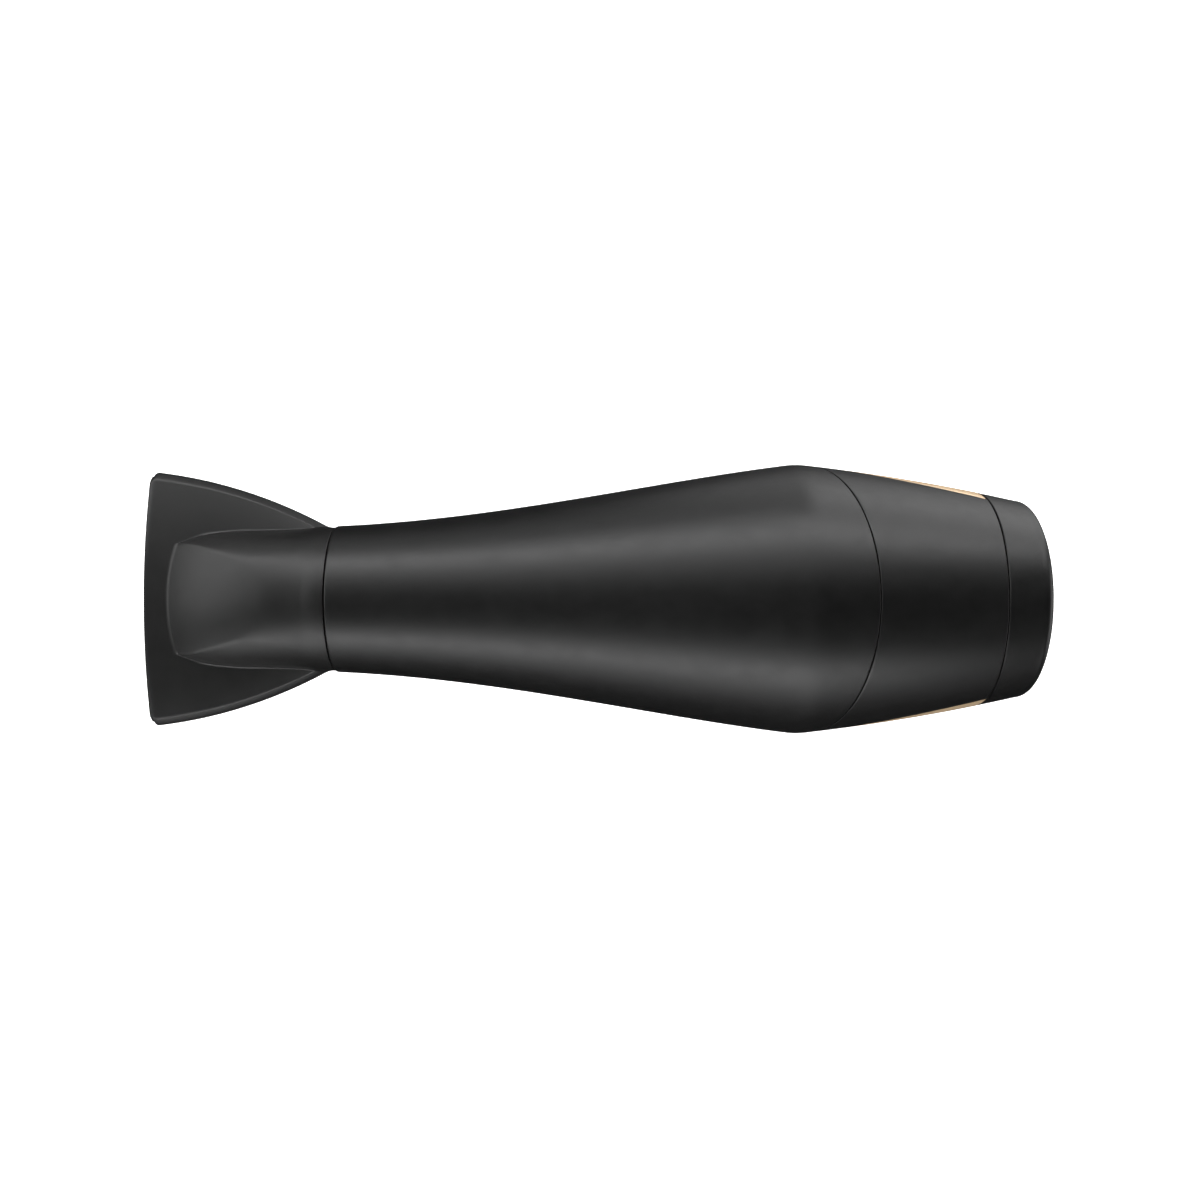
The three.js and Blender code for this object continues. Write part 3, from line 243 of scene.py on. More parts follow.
@dataclass
class Skin:
    """One closed surface: its vertices in millimetres, its quads and its triangles."""

    points: np.ndarray
    quads: np.ndarray
    triangles: np.ndarray

    @staticmethod
    def of_grid(grid: np.ndarray, ring: bool) -> "Skin":
        """Join a grid of points, whose rows go all the way round, to a surface that faces outwards.

        Neighbours in a row and a column span a quad. A cap is a fan from the mean of its row.

        Args:
            grid: Points of shape (rows, columns, 3).
            ring: Whether the last row joins the first; otherwise caps close both ends.

        Returns:
            The surface, turned so that its signed volume is positive.
        """
        rows, columns = grid.shape[:2]
        index = np.arange(rows * columns).reshape(rows, columns)
        row = np.arange(rows if ring else rows - 1)[:, None]
        column = np.arange(columns)[None, :]
        below, right = (row + 1) % rows, (column + 1) % columns
        corners = [index[row, column], index[below, column], index[below, right], index[row, right]]
        points, quads = grid.reshape(-1, 3), np.stack(corners, -1).reshape(-1, 4)
        if ring:
            return Skin(points, quads, np.zeros((0, 3), int)).facing_out()
        points = np.concatenate([points, grid[:1].mean(1), grid[-1:].mean(1)])
        start = np.stack([np.full(columns, index.size), index[0], np.roll(index[0], -1)], -1)
        end = np.stack([np.full(columns, index.size + 1), index[-1], np.roll(index[-1], -1)], -1)
        return Skin(points, quads, np.concatenate([start, end[:, ::-1]])).facing_out()

    @staticmethod
    def between(outer: np.ndarray, inner: np.ndarray) -> "Skin":
        """Join an outer and an inner grid of the same shape to a closed wall.

        Each grid gives its quads, the inner ones turned round, and bands of quads join all four edges.

        Args:
            outer: Points of shape (rows, columns, 3).
            inner: The points behind them.

        Returns:
            The closed wall.
        """
        index = np.arange(outer[..., 0].size).reshape(outer.shape[:2])
        face = np.stack([index[:-1, :-1], index[1:, :-1], index[1:, 1:], index[:-1, 1:]], -1).reshape(-1, 4)
        behind = face[:, ::-1] + index.size
        edges = [(index[0, :-1], index[0, 1:]), (index[-1, 1:], index[-1, :-1]),
                 (index[1:, 0], index[:-1, 0]), (index[:-1, -1], index[1:, -1])]
        bands = [np.stack([a, b, b + index.size, a + index.size], -1) for a, b in edges]
        points = np.concatenate([outer.reshape(-1, 3), inner.reshape(-1, 3)])
        return Skin(points, np.concatenate([face, behind, *bands]), np.zeros((0, 3), int)).facing_out()

    def facing_out(self) -> "Skin":
        """Turn every face round if the surface's signed volume is negative.

        Returns:
            This surface, or a copy of it that faces the other way.
        """
        p, q = self.points, self.quads
        sides = np.concatenate([q[:, :3], q[:, [0, 2, 3]], self.triangles])
        volume = np.einsum("ij,ij->i", p[sides[:, 0]], np.cross(p[sides[:, 1]], p[sides[:, 2]])).sum()
        if volume < 0:
            return Skin(p, q[:, ::-1], self.triangles[:, ::-1])
        return self

    def placed(self, place: Place) -> "Skin":
        """This surface carried from a local frame to the part's."""
        return Skin(place.put(self.points), self.quads, self.triangles).facing_out()


def around(x: np.ndarray, radius: np.ndarray, angle: np.ndarray) -> np.ndarray:
    """Points round the X axis at an angle measured from +Z towards +Y."""
    x, radius, angle = np.broadcast_arrays(x, radius, angle)
    return np.stack([x, radius * np.sin(angle), radius * np.cos(angle)], -1)


def lathe(profile: np.ndarray, sides: int, place: Place = WORLD, closed: bool = True) -> Skin:
    """Turn a profile of (along, radius) pairs about the first axis of a local frame.

    Args:
        profile: The profile; a closed one is the section of a ring, an open one has both ends capped.
        sides: Number of sides round the axis.
        place: The frame whose first axis is turned about.
        closed: Whether the profile's last point joins its first.

    Returns:
        The turned surface.
    """
    angle = np.arange(sides) * TURN / sides
    grid = around(profile[:, :1], profile[:, 1:], angle[None, :])
    return Skin.of_grid(grid, closed).placed(place)


def tube(path: np.ndarray, radius: float, sides: int, reference: Sequence[float], flat: float = 1.0) -> Skin:
    """Carry a round or oval section along a path.

    The section's axes are the cross product of the path's direction with a reference, and the one at right
    angles to both. The ends are rounded by three shrinking rows.

    Args:
        path: Points of the centre line.
        radius: Half the section's width.
        sides: Number of sides.
        reference: A direction that the path never runs along.
        flat: The section's second half axis as a share of its first.

    Returns:
        The swept surface.
    """
    ahead = np.roll(path, -1, 0) - np.roll(path, 1, 0)
    ahead[0], ahead[-1] = path[1] - path[0], path[-1] - path[-2]
    ahead = ahead / np.linalg.norm(ahead, axis=1)[:, None]
    across = np.cross(ahead, np.asarray(reference, float))
    across = across / np.linalg.norm(across, axis=1)[:, None]
    up = np.cross(across, ahead)
    step, ease = np.array(TUBE_END).T
    step, count = radius * step, len(ease)
    first = path[0] + ahead[0] * step[:, None]
    last = path[-1] - ahead[-1] * step[::-1, None]
    path = np.concatenate([first, path[1:-1], last])
    shrink = np.concatenate([ease, np.ones(len(path) - 2 * count), ease[::-1]])
    across = np.concatenate([across[:1].repeat(count, 0), across[1:-1], across[-1:].repeat(count, 0)])
    up = np.concatenate([up[:1].repeat(count, 0), up[1:-1], up[-1:].repeat(count, 0)])
    angle = (np.arange(sides) * TURN / sides)[None, :, None]
    reach = (radius * shrink)[:, None, None]
    grid = path[:, None] + reach * (np.cos(angle) * across[:, None] + flat * np.sin(angle) * up[:, None])
    return Skin.of_grid(grid, False)


def pillow(outline: np.ndarray, bottom: float, top: float, ease: float, dish: Optional[Callable] = None,
           place: Place = WORLD, steps: int = 5) -> Skin:
    """A flat block with a rounded top edge, standing on the plane of a local frame's second and third axes.

    Rows rise from the bottom along the outline, turn in over the edge as a quarter circle while the outline
    shrinks towards the middle by the same amount, and close over the top on outlines scaled towards the
    centre.

    Args:
        outline: The block's outline as (second, third) pairs.
        bottom: Where the block starts along the first axis.
        top: Where it ends.
        ease: Radius of the rounded edge.
        dish: Height added to the top as a function of the (second, third) coordinates.
        place: The frame it is made in.
        steps: Rows on the rounded edge.

    Returns:
        The closed block.
    """
    centre = outline.mean(0)
    out = np.roll(outline, -1, 0) - np.roll(outline, 1, 0)
    normal = np.stack([out[:, 1], -out[:, 0]], -1) / np.linalg.norm(out, axis=1)[:, None]
    if np.einsum("ij,ij->", normal, outline - centre) < 0:
        normal = -normal
    angle = np.linspace(0.0, QUARTER, steps)
    inset = np.concatenate([np.zeros(len(BLOCK_WALL)), ease * (1 - np.cos(angle))])
    wall = bottom + (top - ease - bottom) * np.array(BLOCK_WALL)
    level = np.concatenate([wall, top - ease + ease * np.sin(angle)])
    walls = outline[None] - normal[None] * inset[:, None, None]
    scale = np.array(BLOCK_TOP)[:, None, None]
    cover = centre + (walls[-1] - centre)[None] * scale
    flat = np.concatenate([walls, cover])
    level = np.concatenate([level, np.full(len(scale), top)])[:, None]
    lift = np.zeros(flat.shape[:2])
    if dish is not None:
        share = smoothstep(level, bottom, top)
        lift = dish(flat[..., 0], flat[..., 1]) * share
    grid = np.concatenate([(level + lift)[..., None], flat], -1)
    return Skin.of_grid(grid, False).placed(place)


# ---------------- Finishes


class Value:
    """A number that varies over a surface; Python's operators on it add Math nodes to its graph."""

    def __init__(self, graph: "Graph", socket: bpy.types.NodeSocket) -> None:
        """Wrap an output socket of the graph."""
        self.graph = graph
        self.socket = socket

    def _math(self, operation: str, first: object, second: object) -> "Value":
        """The result of one Math node on two values or numbers."""
        made = self.graph.node("ShaderNodeMath", {"operation": operation}, {0: first, 1: second})
        return Value(self.graph, made.outputs[0])

    def __add__(self, other: object) -> "Value":
        """Sum."""
        return self._math("ADD", self, other)

    __radd__ = __add__

    def __mul__(self, other: object) -> "Value":
        """Product."""
        return self._math("MULTIPLY", self, other)

    __rmul__ = __mul__


class Graph:
    """The node graph of one material, with the few nodes that the finishes share."""

    def __init__(self, name: str) -> None:
        """Start a material that holds a Principled shader and its output.

        Args:
            name: The material's name.
        """
        self.material = bpy.data.materials.new(name)
        self.material.use_nodes = True
        self.tree = self.material.node_tree
        self.tree.nodes.clear()
        output = self.node("ShaderNodeOutputMaterial")
        self.shader = self.node("ShaderNodeBsdfPrincipled")
        self.tree.links.new(self.shader.outputs[0], output.inputs[0])
        self.place = self.node("ShaderNodeTexCoord").outputs["Object"]

    def node(self, kind: str, settings: Optional[dict] = None,
             sockets: Optional[dict] = None) -> bpy.types.Node:
        """Add any node.

        Args:
            kind: The node's type.
            settings: Its own settings, set first; "stops" holds a ramp's (position, colour) pairs.
            sockets: For each input's name or number, a value or what to link to it.

        Returns:
            The node.
        """
        made = self.tree.nodes.new(kind)
        for key, value in (settings or {}).items():
            if key == "stops":
                elements = made.color_ramp.elements
                while len(elements) < len(value):
                    elements.new(1.0)
                for element, (position, colour) in zip(elements, value):
                    element.position = position
                    element.color = colour
            else:
                setattr(made, key, value)
        for key, value in (sockets or {}).items():
            if isinstance(value, Value):
                value = value.socket
            if isinstance(value, bpy.types.NodeSocket):
                self.tree.links.new(value, made.inputs[key])
            else:
                made.inputs[key].default_value = value
        return made

    def stretched(self, scale: Sequence[float]) -> bpy.types.NodeSocket:
        """Object coordinates stretched along each axis."""
        return self.node("ShaderNodeMapping", {}, {"Vector": self.place, "Scale": tuple(scale)}).outputs[0]

    def noise(self, scale: float, detail: float = 2.0, rough: float = 0.5,
              stretch: Optional[Sequence[float]] = None) -> Value:
        """Cloudy noise between 0 and 1.

        Args:
            scale: Its waves in a metre.
            detail: Number of finer octaves.
            rough: Strength of each octave against the last.
            stretch: Scale along each axis, for grain and brushing.

        Returns:
            The noise's factor.
        """
        vector = self.stretched(stretch) if stretch else self.place
        made = self.node("ShaderNodeTexNoise", {},
                         {"Vector": vector, "Scale": scale, "Detail": detail, "Roughness": rough})
        return Value(self, made.outputs[0])

    def cells(self, scale: float) -> Value:
        """Distance to the nearest of scattered points, for grains and flakes."""
        made = self.node("ShaderNodeTexVoronoi", {}, {"Vector": self.place, "Scale": scale})
        return Value(self, made.outputs["Distance"])

    def ramp(self, value: Value, stops: Sequence[tuple[float, tuple]]) -> bpy.types.NodeSocket:
        """A colour read from a value through a ramp."""
        made = self.node("ShaderNodeValToRGB", {"stops": stops}, {0: value})
        return made.outputs[0]

    def between(self, value: Value, low: float, high: float, start: float = 0.0, end: float = 1.0) -> Value:
        """A value's range from low to high, clipped, carried to start to end."""
        made = self.node("ShaderNodeMapRange", {}, {0: value, 1: low, 2: high, 3: start, 4: end})
        return Value(self, made.outputs[0])

    def mix(self, factor: object, first: object, second: object) -> bpy.types.NodeSocket:
        """A mix of two colours."""
        made = self.node("ShaderNodeMix", {"data_type": "RGBA"}, {0: factor, 6: first, 7: second})
        return made.outputs[2]

    def bump(self, height: Value, depth: float) -> None:
        """Raise the surface's shading by a height times a depth in metres."""
        made = self.node("ShaderNodeBump", {}, {"Strength": 1.0, "Distance": depth, "Height": height})
        self.tree.links.new(made.outputs[0], self.shader.inputs["Normal"])

    def feed(self, **sockets: object) -> None:
        """Set or link inputs of the shader.

        Args:
            **sockets: For each input, named with underscores for spaces, a value or what to link to it.
        """
        for key, value in sockets.items():
            name = key.replace("_", " ")
            if isinstance(value, Value):
                value = value.socket
            if isinstance(value, bpy.types.NodeSocket):
                self.tree.links.new(value, self.shader.inputs[name])
            else:
                self.shader.inputs[name].default_value = value


def opaque(colour: Sequence[float], times: float = 1.0) -> tuple[float, float, float, float]:
    """A linear colour, made lighter or darker by a factor, with full alpha."""
    return (colour[0] * times, colour[1] * times, colour[2] * times, 1.0)


@dataclass(frozen=True)
class MouldedPlastic:
    """Moulded plastic: the mould's fine spark-eroded grain, with shade and gloss changed by handling."""

    name: str
    colour: tuple[float, float, float]
    gloss_low: float = 0.40
    gloss_high: float = 0.47
    grain: float = 5200.0
    grain_depth: float = 0.000006
    specular: float = 0.5

    def make(self) -> bpy.types.Material:
        """Build the material: two noises for shade and gloss, and a grain of fine noise on finer cells.

        Returns:
            The material.
        """
        g = Graph(self.name)
        cloud = g.noise(38.0, 3.0)
        smear = g.noise(160.0, 4.0, 0.6)
        shade = g.between(cloud * 0.7 + smear * 0.3, 0.3, 0.7)
        g.feed(
            Base_Color=g.mix(shade, opaque(self.colour, 0.9), opaque(self.colour, 1.12)),
            Roughness=g.between(smear, 0.25, 0.75, self.gloss_low, self.gloss_high),
            Specular_IOR_Level=self.specular,
            IOR=1.49,
        )
        g.bump(g.noise(self.grain, 2.0, 0.6) * 0.7 + g.cells(self.grain * 0.8) * 0.3, self.grain_depth)
        return g.material


@dataclass(frozen=True)
class SatinLacquer:
    """Metallic lacquer on the side trims: fine flakes in a warm base under a satin clear coat."""

    name: str
    colour: tuple[float, float, float]
    metallic: float = 0.25
    gloss: float = 0.38

    def make(self) -> bpy.types.Material:
        """Build the material: flakes from fine cells tint the base, and faint brushing runs along X.

        Returns:
            The material.
        """
        g = Graph(self.name)
        flake = g.cells(9000.0)
        brush = g.noise(1.0, 3.0, 0.55, (120.0, 2600.0, 2600.0))
        tone = g.between(flake * 0.6 + brush * 0.4, 0.2, 0.7)
        g.feed(
            Base_Color=g.mix(tone, opaque(self.colour, 0.88), opaque(self.colour, 1.1)),
            Roughness=g.between(brush, 0.25, 0.75, self.gloss - 0.05, self.gloss + 0.06),
            Metallic=self.metallic,
            Coat_Weight=0.35,
            Coat_Roughness=0.25,
        )
        g.bump(brush * 0.5 + flake * 0.5, 0.000004)
        return g.material


@dataclass(frozen=True)
class WorkedMetal:
    """Bare metal: brushed or drawn along one axis, with a faint tarnish in patches."""

    name: str
    colour: tuple[float, float, float]
    tarnish: tuple[float, float, float]
    gloss: float = 0.3
    stretch: tuple[float, float, float] = (300.0, 3000.0, 3000.0)

    def make(self) -> bpy.types.Material:
        """Build the material: stretched noise for the brushing and cloudy noise for the tarnish.

        Returns:
            The material.
        """
        g = Graph(self.name)
        brush = g.noise(1.0, 3.0, 0.6, self.stretch)
        patch = g.between(g.noise(120.0, 4.0, 0.6), 0.45, 0.75)
        g.feed(
            Base_Color=g.mix(patch, opaque(self.colour), opaque(self.tarnish)),
            Roughness=g.between(brush, 0.2, 0.8, self.gloss - 0.07, self.gloss + 0.1) + patch * 0.12,
            Metallic=1.0,
        )
        g.bump(brush, 0.000008)
        return g.material


@dataclass(frozen=True)
class SoftRubber:
    """Matt rubber: a powdery bloom over a dark base, with a fine pebbled skin."""

    name: str
    colour: tuple[float, float, float]

    def make(self) -> bpy.types.Material:
        """Build the material: cells for the pebbles, cloudy noise for the bloom.

        Returns:
            The material.
        """
        g = Graph(self.name)
        bloom = g.between(g.noise(90.0, 5.0, 0.62), 0.4, 0.75)
        pebble = g.cells(2600.0)
        g.feed(
            Base_Color=g.mix(bloom, opaque(self.colour), opaque(self.colour, 1.7)),
            Roughness=g.between(bloom, 0.0, 1.0, 0.62, 0.78),
            Specular_IOR_Level=0.35,
        )
        g.bump(pebble, 0.00002)
        return g.material


@dataclass(frozen=True)
class LayeredBoard:
    """Mica board or circuit board: pressed flakes in layers, some of them glassy."""

    name: str
    colour: tuple[float, float, float]
    fleck: tuple[float, float, float]

    def make(self) -> bpy.types.Material:
        """Build the material: large cells choose flake colours and their gloss.

        Returns:
            The material.
        """
        g = Graph(self.name)
        flake = g.cells(700.0)
        dust = g.noise(1800.0, 4.0, 0.6)
        tone = g.between(flake * 0.6 + dust * 0.4, 0.25, 0.75)
        g.feed(
            Base_Color=g.ramp(tone, [(0.0, opaque(self.fleck)), (0.55, opaque(self.colour)),
                                     (1.0, opaque(self.colour, 1.2))]),
            Roughness=g.between(flake, 0.1, 0.6, 0.35, 0.7),
        )
        g.bump(tone, 0.00003)
        return g.material


@dataclass(frozen=True)
class PressedCarbon:
    """Pressed carbon and wound, varnished parts: dark granules with glints."""

    name: str
    colour: tuple[float, float, float]

    def make(self) -> bpy.types.Material:
        """Build the material: granules from cells, glints where the noise peaks.

        Returns:
            The material.
        """
        g = Graph(self.name)
        granule = g.cells(3200.0)
        glint = g.between(g.noise(6000.0, 2.0), 0.62, 0.7)
        g.feed(
            Base_Color=g.mix(glint, opaque(self.colour), opaque(self.colour, 4.0)),
            Roughness=g.between(granule, 0.0, 0.7, 0.45, 0.75),
            Metallic=g.between(glint, 0.0, 1.0, 0.1, 0.6),
        )
        g.bump(granule, 0.00002)
        return g.material


class Finishes:
    """Every finish on the dryer, made once and handed to the pieces by its slot's name."""

    def __init__(self) -> None:
        """Build all the materials."""
        makers = {
            "housing_plastic": MouldedPlastic("SatinBlackShell", (0.0018, 0.0018, 0.0019)),
            "cap_plastic": MouldedPlastic("SatinBlackCap", (0.0017, 0.0017, 0.0018), 0.38, 0.45),
            "heat_plastic": MouldedPlastic("HeatproofBlack", (0.0028, 0.0028, 0.0028), 0.42, 0.49, 4600.0),
            "fan_plastic": MouldedPlastic("SmokeGreyFan", (0.060, 0.062, 0.066), 0.34, 0.46, 3000.0),
            "champagne_trim": SatinLacquer("ChampagneLacquer", (0.82, 0.60, 0.375), 0.55, 0.34),
            "switch_plastic": MouldedPlastic("KeyBlack", (0.0070, 0.0070, 0.0072), 0.30, 0.40, 4200.0),
            "soft_rubber": SoftRubber("SoftBlackRubber", (0.0085, 0.0085, 0.0088)),
            "mica_board": LayeredBoard("MicaBoard", (0.62, 0.55, 0.42), (0.40, 0.34, 0.24)),
            "steel": WorkedMetal("BrushedSteel", (0.58, 0.58, 0.59), (0.46, 0.45, 0.44)),
            "resistance_wire": WorkedMetal("OxidisedHeatWire", (0.34, 0.31, 0.29), (0.20, 0.16, 0.15), 0.42),
            "copper_alloy": WorkedMetal("CopperAlloy", (0.83, 0.47, 0.25), (0.58, 0.29, 0.14), 0.28),
            "carbon_block": PressedCarbon("PressedCarbon", (0.022, 0.022, 0.024)),
            "blue_sleeve": MouldedPlastic("BlueSleeve", (0.020, 0.085, 0.36), 0.34, 0.46, 2400.0),
            "brown_sleeve": MouldedPlastic("BrownSleeve", (0.150, 0.058, 0.020), 0.34, 0.46, 2400.0),
        }
        self.made = {slot: finish.make() for slot, finish in makers.items()}

    def of(self, slot: str) -> bpy.types.Material:
        """The material of a slot."""
        return self.made[slot]


class Workshop:
    """Makes pieces from surfaces, dresses them and hands them to the frame."""

    def __init__(self, frame: dict, finishes: Finishes) -> None:
        """Keep the frame and the finishes that every piece needs."""
        self.frame = frame
        self.finishes = finishes

    def piece(self, name: str, skins: Sequence[Skin], body: Body, slot: str, replaces: Sequence[str] = (),
              sharp: float = CREASE_ANGLE) -> bpy.types.Object:
        """Make one piece.

        Args:
            name: The piece's name.
            skins: Its surfaces, which may overlap.
            body: The body it rides on.
            slot: The material slot that it takes its finish from.
            replaces: CAD nodes it stands for.
            sharp: Angle in degrees past which an edge is shaded as a crease.

        Returns:
            The object.
        """
        points = np.concatenate([s.points for s in skins]) * MM
        offsets = np.cumsum([0] + [len(s.points) for s in skins[:-1]])
        quads = np.concatenate([s.quads + o for s, o in zip(skins, offsets)])
        triangles = np.concatenate([s.triangles + o for s, o in zip(skins, offsets)])
        mesh = bpy.data.meshes.new(name)
        mesh.vertices.add(len(points))
        mesh.vertices.foreach_set("co", points.astype(np.float32).ravel())
        corners = np.concatenate([quads.ravel(), triangles.ravel()])
        sizes = np.concatenate([np.full(len(quads), 4), np.full(len(triangles), 3)])
        mesh.loops.add(len(corners))
        mesh.loops.foreach_set("vertex_index", corners.astype(np.int32))
        mesh.polygons.add(len(sizes))
        mesh.polygons.foreach_set("loop_start", (np.cumsum(sizes) - sizes).astype(np.int32))
        mesh.update(calc_edges=True)
        mesh.validate()
        mesh.shade_smooth()
        mesh.set_sharp_from_angle(angle=math.radians(sharp))
        mesh.materials.append(self.finishes.of(slot))
        made = bpy.data.objects.new(name, mesh)
        bpy.context.scene.collection.objects.link(made)
        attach(made, body.value)
        if replaces:
            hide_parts(*replaces)
        LOG.info("%s: %d faces on %s", name, len(sizes), body.value)
        return made

    def cut(self, piece: bpy.types.Object, cutters: Sequence[Skin]) -> None:
        """Cut openings into a piece.

        Args:
            piece: What is cut; its mesh is replaced by the result.
            cutters: Closed surfaces whose insides are taken away.
        """
        for number, skin in enumerate(cutters):
            mesh = bpy.data.meshes.new("cutter")
            faces = skin.quads.tolist() + skin.triangles.tolist()
            mesh.from_pydata((skin.points * MM).tolist(), [], faces)
            tool = bpy.data.objects.new("cutter", mesh)
            bpy.context.scene.collection.objects.link(tool)
            modifier = piece.modifiers.new(f"cut{number}", "BOOLEAN")
            modifier.operation = "DIFFERENCE"
            modifier.solver = "MANIFOLD"
            modifier.object = tool
            bpy.context.view_layer.update()
            evaluated = piece.evaluated_get(bpy.context.evaluated_depsgraph_get())
            made = bpy.data.meshes.new_from_object(evaluated)
            piece.modifiers.clear()
            bpy.data.objects.remove(tool)
            made.name = piece.name
            made.shade_smooth()
            made.set_sharp_from_angle(angle=math.radians(CREASE_ANGLE))
            piece.data = made
        LOG.info("%s: cut by %d openings", piece.name, len(cutters))

    def dress_nodes(self) -> None:
        """Give every CAD node that still shows the finish that the record names for it."""
        for row in self.frame["record"].get("materials", []):
            for name in row.get("nodes", []):
                node = self.frame["nodes"][name]
                node.data.materials.clear()
                node.data.materials.append(self.finishes.of(row["slot"]))


# ---------------- The dryer's sub-assemblies


@dataclass
class BarrelLine:
    """The barrel's outline: its radius along the axis, from the outlet over the ridge to the intake.

    A cubic leads from the outlet up to the ridge, one short parabola turns over the ridge, and another leads
    down to the cap's rim.
    """

    outlet_radius: float = 24.0
    ridge_x: float = 149.5
    ridge_radius: float = 44.1
    rim_x: float = 221.0
    rim_radius: float = 32.3
    turn: float = 3.0
    rise_slope: float = 0.122
    fall_slope: float = 0.113
    outlet_slope: float = 0.044
    outlet_pull: float = 0.37
    ridge_pull: float = 0.3
    fall_reach: float = 34.25
    samples: int = 500
    _line: np.ndarray = field(init=False, repr=False)

    def __post_init__(self) -> None:
        """Work out the dense outline that radii are read from."""
        rise = np.array([self.ridge_x - self.turn, self.ridge_radius - self.rise_slope * self.turn])
        fall = np.array([self.ridge_x + self.turn, self.ridge_radius - self.fall_slope * self.turn])
        pull, push, reach = self.outlet_pull * rise[0], self.ridge_pull * rise[0], self.fall_reach
        up = [(0.0, self.outlet_radius), (pull, self.outlet_radius + self.outlet_slope * pull),
              (rise[0] - push, rise[1] - self.rise_slope * push), rise]
        over = [rise, (self.ridge_x, self.ridge_radius), fall]
        down = [fall, (fall[0] + reach, fall[1] - self.fall_slope * reach), (self.rim_x, self.rim_radius)]
        parts = [bezier(p, self.samples) for p in (up, over, down)]
        self._line = np.concatenate([parts[0], parts[1][1:], parts[2][1:]])

    def radius(self, x: Number) -> np.ndarray:
        """The barrel's radius at x."""
        return np.interp(x, self._line[:, 0], self._line[:, 1])


@dataclass
class Seam:
    """The slanted joint between both housings: the plane x = foot + z tan(slant), with a gap across it."""

    foot: float = 153.4
    slant: float = 19.9
    gap: float = 0.3

    def at(self, height: Number, side: int) -> np.ndarray:
        """Where one housing ends at a height: side -1 before the gap, +1 behind it."""
        lean = math.radians(self.slant)
        return self.foot + np.asarray(height) * math.tan(lean) + side * self.gap / 2 / math.cos(lean)


@dataclass
class Barrel:
    """The front housing's barrel and the rear housing."""

    line: BarrelLine
    seam: Seam
    wall: float = 2.2
    ease: float = 0.35
    front_ease: float = 0.55
    columns: int = 192
    rows: int = 170
    edge_rows: int = 6
    settle: int = 12  # rounds in which the edge at the seam finds its place

    def front_skin(self) -> Skin:
        """The barrel before the slanted seam.

        A section runs back along the outside, over an eased edge at the seam, forward along the inside and
        over the front edge; it is carried round the axis, and its rear end follows the slanted plane at
        every radius.

        Returns:
            The closed shell.
        """
        angle = np.arange(self.columns)[None, :] * TURN / self.columns
        end = np.full((1, self.columns), self.seam.foot)
        for _ in range(self.settle):
            end = self.seam.at(self.line.radius(end) * np.cos(angle), -1)
        inner_end = np.full((1, self.columns), self.seam.foot)
        for _ in range(self.settle):
            inner_end = self.seam.at((self.line.radius(inner_end) - self.wall) * np.cos(angle), -1)
        share = np.linspace(0.0, 1.0, self.rows)[:, None]
        turn = np.linspace(0.0, QUARTER, self.edge_rows)[:, None]
        first = self.front_ease
        x_out = first + (end - self.ease - first) * share
        x_rear = end - self.ease + self.ease * np.sin(turn)
        x_in = inner_end * (1 - share[::self.edge_rows])
        x_front = self.front_ease * (1 - np.sin(turn))
        radius_front = self.line.radius(first) - self.front_ease * (1 - np.cos(turn))
        whole = (self.edge_rows, self.columns)
        x = np.concatenate([x_out, x_rear[1:], x_in, np.broadcast_to(x_front[::-1], whole)[:-1]])
        radius = np.concatenate([
            self.line.radius(x_out),
            self.line.radius(end - self.ease) - self.ease * (1 - np.cos(turn[1:])),
            self.line.radius(x_in) - self.wall,
            np.broadcast_to(radius_front[::-1], whole)[:-1],
        ])
        return Skin.of_grid(around(x, radius, angle), True)

    def make(self, shop: Workshop, neck: Skin) -> None:
        """Build the front housing: the barrel and the neck of the handle."""
        skins = [self.front_skin(), neck]
        shop.piece("front_shell", skins, Body.DRYER, "housing_plastic", ["front_housing"])


